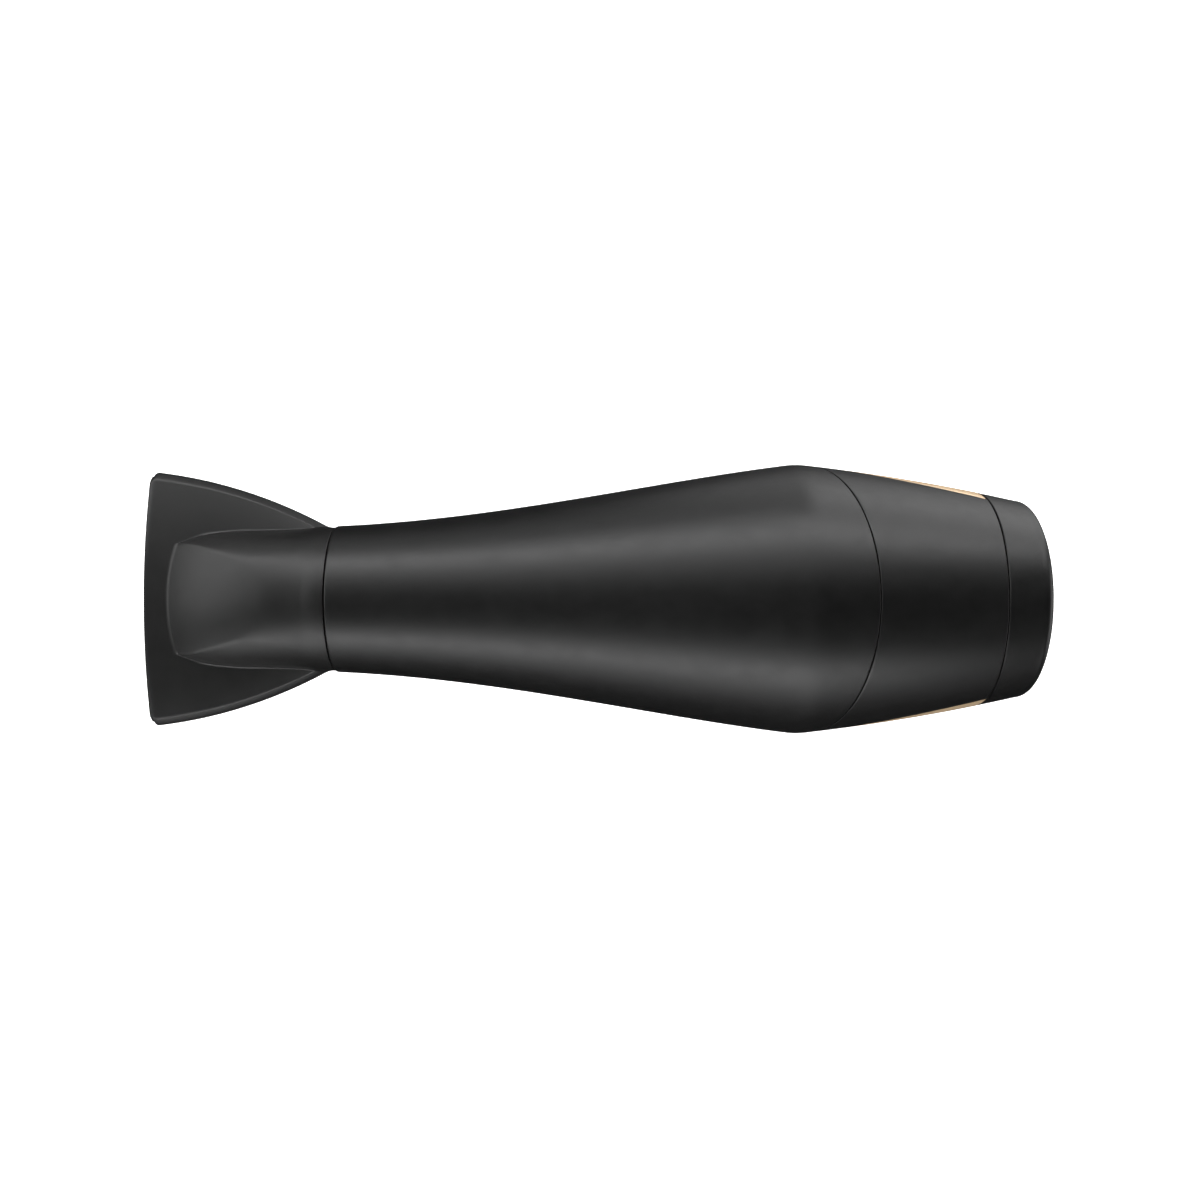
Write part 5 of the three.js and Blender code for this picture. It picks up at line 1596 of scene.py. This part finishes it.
    def gland_skin(self) -> Skin:
        """The cord's bush: a turned sleeve with shallow grooves, an eased mouth and a flange inside.

        Returns:
            The closed sleeve.
        """
        bore, reach = 4.2, 6.6
        corners = [(163.5, bore), (171.2, bore + 0.2), (171.2, reach - 0.7), (170.3, reach - 0.25),
                   (170.3, reach - 0.8), (169.8, reach - 0.8), (169.8, reach), (169.0, reach),
                   (169.0, reach - 0.6), (168.5, reach - 0.6), (168.5, reach + 0.1), (165.3, reach + 0.1),
                   (165.3, reach + 1.5), (163.5, reach + 1.5)]
        return lathe(eased(corners, 0.3, True, 3), 72, self.down())

    def loop_skin(self) -> Skin:
        """The hanging loop: a round cord along a smooth bow, with both feet in the sole.

        Returns:
            The loop.
        """
        top = self.foot_end - 2.0
        path = np.concatenate([
            bezier([(-6.0, top), (-6.0, 170.5), (-8.2, 174.0), (-7.9, 177.6)], 16),
            bezier([(-7.9, 177.6), (-7.4, 182.4), (7.4, 182.4), (7.9, 177.6)], 40)[1:],
            bezier([(7.9, 177.6), (8.2, 174.0), (6.0, 170.5), (6.0, top)], 16)[1:],
        ])
        points = np.stack([np.full(len(path), self.loop_along), path[:, 0], -path[:, 1]], -1)
        return tube(self.place().put(points), self.loop_wire, 20, self.place().first)

    def screw_skin(self, s: float) -> Skin:
        """A grip screw's head and shank, turned.

        Args:
            s: How far down the handle the screw is.

        Returns:
            The closed screw.
        """
        profile = [(-13.0, AXIS_GAP), (14.0, 1.5), (16.1, 1.5), (16.1, 2.9), (17.3, 2.9), (18.1, AXIS_GAP)]
        profile = eased(profile, [0.0, 0.2, 0.1, 0.3, 0.7, 0.0], False, 5)
        return lathe(profile, 40, self.place(-1, s), False)

    def cross_skins(self, s: float) -> list[Skin]:
        """The two bars of a cross recess.

        Args:
            s: How far down the handle the screw is.

        Returns:
            Both cutters.
        """
        bar = eased([(-0.42, -1.8), (0.42, -1.8), (0.42, 1.8), (-0.42, 1.8)], 0.2, True, 3)
        here = self.place(-1, s)
        return [pillow(outline, 16.9, 19.0, 0.05, None, here) for outline in (bar, bar[:, ::-1])]

    def make(self, shop: Workshop, keys: "Controls") -> None:
        """Build the grips with their openings, the screws, the foot, the gland and the loop.

        Args:
            shop: Makes the pieces.
            keys: The controls that the grips are opened for.
        """
        front = shop.piece("front_grip", [self.grip_skin(-1)], Body.DRYER, "housing_plastic", ["grip_front"])
        level, radius = self.screw_recess
        recess = np.array([(level, 0.02), (level, radius), (30.0, radius), (30.0, 0.02)])
        recesses = [lathe(recess, 48, self.place(-1, s), False) for s in self.screws]
        shop.cut(front, [keys.button_window(), *recesses])
        back = shop.piece("back_grip", [self.grip_skin(1)], Body.DRYER, "housing_plastic", ["grip_back"])
        shop.cut(back, [keys.bezel_window()])
        foot = shop.piece("foot_cup", [self.foot_skin()], Body.DRYER, "cap_plastic", ["foot_cap"])
        radius = self.gland_hole
        hole = np.array([(150.0, 0.02), (150.0, radius), (190.0, radius), (190.0, 0.02)])
        shop.cut(foot, [lathe(hole, 72, self.down(), False)])
        shop.piece("gland", [self.gland_skin()], Body.DRYER, "soft_rubber", ["cord_gland"])
        shop.piece("loop", [self.loop_skin()], Body.DRYER, "soft_rubber", ["hanging_loop"])
        for name, s in zip(("upper", "lower"), self.screws):
            node = f"{name}_grip_screw"
            screw = shop.piece(f"{name}_screw", [self.screw_skin(s)], Body.DRYER, "steel", [node])
            shop.cut(screw, self.cross_skins(s))


@dataclass
class Controls:
    """The two rocker switches in their bezel behind the handle, and the cool-shot button in front."""

    handle: Handle
    bezel_half: float = 7.2
    bezel_span: tuple[float, float] = (61.0, 106.0)
    bezel_heights: tuple[float, float] = (13.1, 19.4)
    window: tuple[float, float] = (5.15, 9.6)
    pins: tuple[float, float] = (72.5, 94.5)
    pin_depth: float = 15.7
    rocker: tuple[float, float] = (4.8, 8.5)
    button_half: float = 4.5
    button_span: tuple[float, float] = (66.0, 81.0)
    button_heights: tuple[float, float] = (14.1, 20.1)
    rocker_rise: float = 5.4
    rocker_dish: float = 1.4
    button_dish: float = 0.35
    travel: float = 2.5
    spring_span: tuple[float, float] = (13.2, 7.7)
    spring_turns: float = 5.0
    spring_radius: float = 2.2

    @staticmethod
    def slab(half_width: float, half_length: float, corner: float) -> np.ndarray:
        """A rectangle with rounded corners, widest along the handle."""
        w, h = half_width, half_length
        return eased([(-w, -h), (w, -h), (w, h), (-w, h)], corner, True, 9)

    def centred(self, span: tuple[float, float], side: int) -> tuple[Place, float]:
        """The frame at the middle of a span down the handle, and half the span."""
        return self.handle.place(side, sum(span) / 2), (span[1] - span[0]) / 2

    def bezel_window(self) -> Skin:
        """The opening in the grip for the bezel."""
        here, half = self.centred(self.bezel_span, 1)
        return pillow(self.slab(self.bezel_half + 0.3, half + 0.3, 4.0), 10.0, 30.0, 0.05, None, here)

    def button_window(self) -> Skin:
        """The opening in the grip for the button."""
        here, half = self.centred(self.button_span, -1)
        return pillow(self.slab(self.button_half + 0.35, half + 0.35, 4.0), 12.0, 30.0, 0.05, None, here)

    def flared(self, half_width: float, half_length: float, place: Place) -> Skin:
        """A cutter for a rocker's window that widens near the bezel's face, which leaves a chamfer.

        Args:
            half_width: Half the window's width.
            half_length: Half its length.
            place: The frame at its middle.

        Returns:
            The closed cutter.
        """
        top = self.bezel_heights[1]
        levels = [(8.0, 0.0), (top - 0.6, 0.0), (top - 0.15, 0.3), (top + 0.1, 0.9), (top + 3.0, 0.9)]
        rows = []
        for level, grow in levels:
            outline = self.slab(half_width + grow, half_length + grow, 1.2 + grow)
            rows.append(np.column_stack([np.full(len(outline), level), outline]))
        return Skin.of_grid(np.stack(rows), False).placed(place)

    def make_bezel(self, shop: Workshop) -> None:
        """Build the bezel: a soft-edged slab with two chamfered windows.

        Args:
            shop: Makes the pieces.
        """
        here, half = self.centred(self.bezel_span, 1)
        low, high = self.bezel_heights
        slab = pillow(self.slab(self.bezel_half, half, 3.9), low, high, 0.9, None, here, 7)
        bezel = shop.piece("bezel", [slab], Body.DRYER, "cap_plastic", ["switch_bezel"])
        shop.cut(bezel, [self.flared(*self.window, self.handle.place(1, s)) for s in self.pins])

    def rocker_skins(self, s: float) -> list[Skin]:
        """A rocker: a block dished along its length, one bar at one end and two at the other, and its pin.

        Args:
            s: How far down the handle its pin is.

        Returns:
            Its surfaces.
        """
        wide, half = self.rocker
        here = self.handle.place(1, s)
        top = self.pin_depth + self.rocker_rise

        def dish(_: np.ndarray, z: np.ndarray) -> np.ndarray:
            """Drop of the face: a parabola, deepest at the middle."""
            return -self.rocker_dish * (1.0 - (z / half) ** 2)

        made = [pillow(self.slab(wide, half, 1.1), self.pin_depth - 1.2, top, 0.6, dish, here, 7)]
        for across, along, w, h in ((0.0, -6.3, 1.5, 0.32), (0.0, 6.6, 1.5, 0.32), (0.0, 5.4, 1.5, 0.32)):
            level = top + float(dish(np.zeros(1), np.array([along]))[0])
            mark = self.slab(w, h, 0.3) + np.array([across, along])
            made.append(pillow(mark, level - 0.4, level + 0.28, 0.14, None, here, 4))
        pin = Place(here.put(np.array([self.pin_depth, 0.0, 0.0])), (0.0, 1.0, 0.0), here.first, here.third)
        shaft = eased([(-6.0, 0.02), (-6.0, 1.2), (6.0, 1.2), (6.0, 0.02)], [0.0, 0.25, 0.25, 0.0], False, 4)
        made.append(lathe(shaft, 24, pin, False))
        return made

    def button_skins(self) -> list[Skin]:
        """The cool-shot button: a rounded cap with a shallow dish and three ribs, on a wider flange.

        Returns:
            Its surfaces.
        """
        here, half = self.centred(self.button_span, -1)
        low, high = self.button_heights

        def dish(y: np.ndarray, z: np.ndarray) -> np.ndarray:
            """Drop of the face: a bowl that fades towards the rim."""
            return -self.button_dish * np.clip(1.0 - (y / self.button_half) ** 2 - (z / half) ** 2, 0.0, 1.0)

        cap = pillow(self.slab(self.button_half, half, 4.2), low, high, 1.1, dish, here, 9)
        wider = self.slab(self.button_half + 1.4, half + 1.4, 5.2)
        flange = pillow(wider, low - 0.2, low + 1.0, 0.2, None, here)
        bars = [self.slab(2.0, 0.35, 0.34) + np.array([0.0, z]) for z in (-2.4, 0.0, 2.4)]
        ribs = [pillow(bar, high - 0.8, high - 0.12, 0.2, None, here, 4) for bar in bars]
        return [cap, flange, *ribs]

    def make_spring(self, shop: Workshop) -> None:
        """Build the button's return spring: a helix that runs in from under the button towards its switch.

        Args:
            shop: Makes the pieces.
        """
        here, _ = self.centred(self.button_span, -1)
        start, end = self.spring_span
        t = np.linspace(0.0, 1.0, 160)
        angle = TURN * self.spring_turns * t
        path = np.stack([start + (end - start) * t, self.spring_radius * np.cos(angle),
                         self.spring_radius * np.sin(angle)], -1)
        spring = shop.piece("button_spring", [tube(here.put(path), 0.3, 8, here.first)], Body.DRYER, "steel",
                            ["cool_shot_spring"])
        anchor = here.put(np.array([end, 0.0, 0.0])) * MM
        tuple(here.first)
        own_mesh(spring)

    def make(self, shop: Workshop) -> None:
        """Build the bezel, both rockers, the button and its spring.

        Args:
            shop: Makes the pieces.
        """
        self.make_bezel(shop)
        for name, body, s in zip(("heat", "speed"), (Body.HEAT_KEY, Body.SPEED_KEY), self.pins):
            shop.piece(f"{name}_key", self.rocker_skins(s), body, "switch_plastic", [f"{name}_rocker"])
        shop.piece("cool_button", self.button_skins(), Body.COOL_KEY, "switch_plastic", ["cool_shot_button"])
        self.make_spring(shop)


@dataclass
class Outlet:
    """What the nozzle plugs on to: the sleeve, its snap ring and the grille in front of the heater."""

    sleeve_radius: float = 20.65
    bore: float = 18.45
    reach: float = 14.0

    def sleeve_skin(self) -> Skin:
        """The sleeve: a turned tube with a lead-in, a groove for the snap ring and a flange behind.

        Returns:
            The closed sleeve.
        """
        r, b = self.sleeve_radius, self.bore
        corners = [(-self.reach, b + 0.3), (-self.reach, r - 0.7), (-self.reach + 1.4, r), (-7.7, r),
                   (-7.6, r - 0.8), (-6.4, r - 0.8), (-6.3, r), (1.2, r), (1.2, r + 0.8), (3.0, r + 0.8),
                   (3.0, r), (5.0, r), (5.0, b)]
        return lathe(eased(corners, 0.3, True, 3), 144)

    def ring_skin(self) -> Skin:
        """The snap ring: a round wire bent almost all the way round, with its ends apart.

        Returns:
            The wire.
        """
        angle = np.linspace(math.radians(186.0), math.radians(534.0), 120)
        line = around(np.full_like(angle, -7.0), np.full_like(angle, 20.43), angle)
        return tube(line, 0.5, 10, WORLD.first)

    def grille_skins(self) -> list[Skin]:
        """The grille: a frame, two rings and a hub, all turned, and four oval spokes.

        Returns:
            Their surfaces.
        """
        made = []
        for low, high in ((17.0, 18.15), (12.6, 13.7), (8.0, 9.1)):
            made.append(lathe(eased([(0.0, low), (0.0, high), (2.4, high), (2.4, low)], 0.35, True, 4), 120))
        hub = [(2.4, AXIS_GAP), (2.4, 4.0), (0.0, 4.0), (-0.1, AXIS_GAP)]
        hub = eased(hub, [0.0, 0.3, 0.8, 0.0], False, 5)
        made.append(lathe(hub, 56, WORLD, False))
        reach = np.linspace(3.4, 17.6, 12)
        for k in range(4):
            path = around(np.full_like(reach, 1.2), reach, np.full_like(reach, (k + 0.5) * QUARTER))
            made.append(tube(path, 0.75, 10, WORLD.first, 1.4))
        return made

    def make(self, shop: Workshop) -> None:
        """Build the sleeve, the snap ring and the grille.

        Args:
            shop: Makes the pieces.
        """
        shop.piece("sleeve", [self.sleeve_skin()], Body.DRYER, "heat_plastic", ["outlet_sleeve"])
        shop.piece("snap_wire", [self.ring_skin()], Body.SNAP_RING, "steel", ["nozzle_snap_ring"])
        shop.piece("front_grille", self.grille_skins(), Body.DRYER, "heat_plastic", ["outlet_grille"])


@dataclass
class Heater:
    """The heater behind the grille: the coil that is wound over its mica frame, and the shield round it."""

    coil_radius: float = 18.1
    wire: float = 0.8
    span: tuple[float, float] = (20.0, 80.0)
    turns: int = 6
    shield_span: tuple[float, float] = (8.0, 100.0)
    shield_radii: tuple[float, float] = (20.6, 20.32)
    beads: tuple[float, ...] = (20.0, 54.0, 88.0)
    bead_rise: float = 0.18
    bead_half: float = 1.6

    def coil_skin(self) -> Skin:
        """The coil: a wire carried along a helix about the axis.

        Returns:
            The wire.
        """
        t = np.linspace(0.0, 1.0, 420)
        x = self.span[0] + (self.span[1] - self.span[0]) * t
        line = around(x, np.full_like(x, self.coil_radius), TURN * self.turns * t)
        return tube(line, self.wire * 0.5, 8, WORLD.first)

    def shield_skin(self) -> Skin:
        """The heat shield: a thin turned tube with bell-shaped beads.

        Returns:
            The closed tube.
        """
        x = np.linspace(*self.shield_span, 90)
        bead = self.bead_rise * sum(np.exp(-(((x - place) / self.bead_half) ** 2)) for place in self.beads)
        outer, inner = self.shield_radii
        outside = np.stack([x, outer + bead], -1)
        inside = np.stack([x, inner + bead], -1)[::-1]
        return lathe(np.concatenate([outside, inside]), 120)

    def make(self, shop: Workshop) -> None:
        """Build the coil and the shield."""
        shop.piece("heat_coil", [self.coil_skin()], Body.DRYER, "resistance_wire", ["heating_coil"])
        shop.piece("shield", [self.shield_skin()], Body.DRYER, "steel", ["heat_shield"])


@dataclass
class Blower:
    """The fan, which shows behind the intake's grille."""

    front: float = 166.5
    depth: float = 17.0
    hub: float = 18.0
    tip: float = 32.7
    blades: int = 9
    root_sink: float = 0.9
    pitch: tuple[float, float] = (48.0, 26.0)
    chord: tuple[float, float] = (13.0, 2.0)
    camber: float = 1.2
    thickness: float = 0.55
    sweep: float = 0.18

    def blade_skin(self, turn: float) -> Skin:
        """One blade: a cambered section carried outwards.

        The section is a parabola of camber with a sine of thickness on both sides. Going out it twists from
        a steep pitch to a flat one, its chord grows and it sweeps forward; its rounded tip thins by an
        ellipse.

        Args:
            turn: The blade's angle round the axis.

        Returns:
            The closed blade.
        """
        share = np.sin(np.linspace(0.0, QUARTER, 14))[:, None]
        radius = self.hub - self.root_sink + (self.tip - self.hub + self.root_sink) * share
        steep, shallow = self.pitch
        pitch = np.radians(steep + (shallow - steep) * share)
        chord = (self.chord[0] + self.chord[1] * share) * (1.0 - 0.12 * share**6)
        loop = np.linspace(0.0, TURN, 28, endpoint=False)[None, :]
        along = 0.5 * np.cos(loop)
        thick = self.thickness * (1.0 - 0.35 * share)
        off = self.camber * (1.0 - 4.0 * along**2) + thick * np.sin(loop) * (1.0 - 0.25 * np.cos(loop))
        c = along * chord
        x = self.front + self.depth / 2 + c * np.sin(pitch) + off * np.cos(pitch)
        angle = (c * np.cos(pitch) - off * np.sin(pitch)) / radius + self.sweep * share + turn
        return Skin.of_grid(around(x, radius, angle), False)

    def hub_skin(self) -> Skin:
        """The hub: a cup over the motor's end with a rounded shoulder and a bored boss, turned.

        Returns:
            The closed cup.
        """
        rear = self.front + self.depth - 1.0
        corners = [(self.front, self.hub - 1.8), (rear - 2.0, self.hub - 1.8), (rear - 2.0, 4.9),
                   (self.front + 3.0, 4.9), (self.front + 3.0, 1.9), (rear, 1.9), (rear, self.hub),
                   (self.front, self.hub)]
        return lathe(eased(corners, [0.4, 0.4, 0.4, 0.3, 0.2, 0.3, 3.2, 0.4], True, 7), 96)

    def make(self, shop: Workshop) -> None:
        """Build the fan."""
        blades = [self.blade_skin(k * TURN / self.blades) for k in range(self.blades)]
        shop.piece("fan_wheel", [self.hub_skin(), *blades], Body.ROTOR, "fan_plastic", ["fan"])


@dataclass
class Light:
    """A rectangular area light that looks at a point."""

    name: str
    place: tuple[float, float, float]
    target: tuple[float, float, float]
    size: tuple[float, float]
    power: float

    def make(self) -> None:
        """Add the light, its long side along X."""
        data = bpy.data.lights.new(self.name, "AREA")
        data.shape = "RECTANGLE"
        data.size, data.size_y = self.size
        data.energy = self.power
        made = bpy.data.objects.new(self.name, data)
        made.visible_camera = False
        back = np.array(self.place) - np.array(self.target)
        back /= np.linalg.norm(back)
        right = np.cross((0.0, 0.0, 1.0), back) if abs(back[2]) < 0.99 else np.array([1.0, 0.0, 0.0])
        right /= np.linalg.norm(right)
        up = np.cross(back, right)
        axes = np.stack([right, up, back, self.place], 1)
        made.matrix_world = Matrix(np.vstack([axes, (0.0, 0.0, 0.0, 1.0)]))
        bpy.context.scene.collection.objects.link(made)


@dataclass
class Studio:
    """A camera over the dryer, long soft lights round it and a pale floor under it.

    Places are in metres, and the floor's and the wall's sizes in millimetres.
    """

    camera_place: tuple[float, float, float] = (0.07927, 0.0, 0.405)
    lens: float = 36.91
    shift: tuple[float, float] = (0.01725, -0.0008)
    floor_z: float = -0.1825
    floor_glow: float = 0.97
    floor_reach: float = 6000.0
    floor_core: float = 40.0
    wall_glow: float = 1.0
    wall_reach: float = 5500.0
    wall_foot: float = -20.0
    wall_rise: float = 0.995
    wall_grow: float = 1.004
    surround: float = 0.01

    def camera(self) -> None:
        """Add the camera, straight above the barrel and looking down."""
        data = bpy.data.cameras.new("Camera")
        data.lens = self.lens
        data.sensor_width = 36.0
        data.shift_x, data.shift_y = self.shift
        data.dof.use_dof = False
        data.clip_start, data.clip_end = 0.01, 50.0
        made = bpy.data.objects.new("Camera", data)
        made.location = self.camera_place
        bpy.context.scene.collection.objects.link(made)
        bpy.context.scene.camera = made

    def lights(self) -> None:
        """Add the strips at both sides, the panels before and behind, and the low fills."""
        for light in (
            Light("RightStrip", (0.02, 0.9, 0.58), (0.02, 0.0, 0.0), (2.2, 0.36), 15.5),
            Light("RightFill", (0.05, 0.62, 0.95), (0.05, 0.0, 0.0), (1.4, 0.4), 1.6),
            Light("LeftStrip", (-0.31, -0.94, 0.47), (-0.2, 0.0, 0.0), (2.2, 0.34), 13.6),
            Light("FrontPanel", (-1.0, 0.32, 0.56), (0.0, 0.0, 0.0), (1.0, 0.7), 6.8),
            Light("RearSide", (0.5, 0.48, -0.02), (0.2, 0.0, 0.0), (0.55, 0.3), 1.2),
            Light("RearLow", (0.3, 0.27, -0.12), (0.19, 0.03, 0.0), (0.5, 0.16), 0.26),
            Light("RearPanel", (1.15, -0.1, 0.0), (0.18, 0.0, -0.06), (0.9, 0.36), 2.6),
            Light("LeftLow", (0.05, -1.15, 0.08), (0.05, 0.0, -0.03), (1.6, 0.3), 1.4),
            Light("RightLow", (0.05, 1.15, -0.12), (0.05, 0.0, -0.06), (1.6, 0.24), 1.2),
        ):
            light.make()

    def stage_piece(self, name: str, skin: Skin, glow: float) -> bpy.types.Object:
        """Make one pale, faintly clouded part of the set that reflections don't show.

        Args:
            name: The object's name.
            skin: Its surface.
            glow: Strength of its own light.

        Returns:
            The object.
        """
        mesh = bpy.data.meshes.new(name)
        mesh.from_pydata((skin.points * MM).tolist(), [], skin.quads.tolist() + skin.triangles.tolist())
        mesh.shade_smooth()
        g = Graph(name)
        soft = g.noise(3.0, 2.0)
        g.feed(Base_Color=g.mix(soft, opaque((0.80, 0.80, 0.80)), opaque((0.83, 0.83, 0.83))), Roughness=0.9,
               Specular_IOR_Level=0.1, Emission_Color=opaque((1.0, 1.0, 1.0)), Emission_Strength=glow)
        mesh.materials.append(g.material)
        made = bpy.data.objects.new(name, mesh)
        bpy.context.scene.collection.objects.link(made)
        made.visible_glossy = False
        return made

    def set_pieces(self) -> None:
        """Add a wide pale floor with a glow of its own, and round it a pale wall that lights nothing."""
        level = self.floor_z / MM
        up = Place((0.0, 0.0, level), (0.0, 0.0, 1.0), (1.0, 0.0, 0.0), (0.0, 1.0, 0.0))
        core, reach = self.floor_core, self.floor_reach
        disc = lathe(np.array([(-1.0, core), (-1.0, reach), (0.0, reach), (0.0, core)]), 96, up, False)
        self.stage_piece("PaleFloor", disc, self.floor_glow)
        rise = np.linspace(0.0, QUARTER * self.wall_rise, 24)
        reach = self.wall_reach
        dome = np.stack([self.wall_foot + reach * np.sin(rise), reach * np.cos(rise)], -1)
        shell = np.concatenate([dome, dome[::-1] * self.wall_grow])
        wall = self.stage_piece("PaleWall", lathe(shell, 96, up), self.wall_glow)
        wall.visible_diffuse = False
        wall.visible_shadow = False
        wall.visible_transmission = False

    def world(self) -> None:
        """Set a dim even surround and a plain view transform."""
        scene = bpy.context.scene
        world = bpy.data.worlds.new("Surround")
        world.use_nodes = True
        background = world.node_tree.nodes["Background"]
        background.inputs[0].default_value = (1.0, 1.0, 1.0, 1.0)
        background.inputs[1].default_value = self.surround
        scene.world = world
        scene.view_settings.view_transform = "Standard"
        scene.view_settings.look = "None"

    def make(self) -> None:
        """Set up the whole studio."""
        self.camera()
        self.lights()
        self.set_pieces()
        self.world()


def main() -> None:
    """Load the frame, build the dryer round it and set up the studio."""
    logging.basicConfig(level=logging.INFO, format="%(name)s %(message)s")
    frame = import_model()
    shop = Workshop(frame, Finishes())
    line, seam = BarrelLine(), Seam()
    shop.dress_nodes()
    handle = Handle(line)
    controls = Controls(handle)
    Barrel(line, seam).make(shop, handle.neck_skin())
    SideTrims(line, seam).make(shop)
    IntakeCap(line).make(shop)
    Nozzle().make(shop)
    Outlet().make(shop)
    handle.make(shop, controls)
    controls.make(shop)
    Heater().make(shop)
    Blower().make(shop)
    Studio().make()


if __name__ == "__main__":
    main()
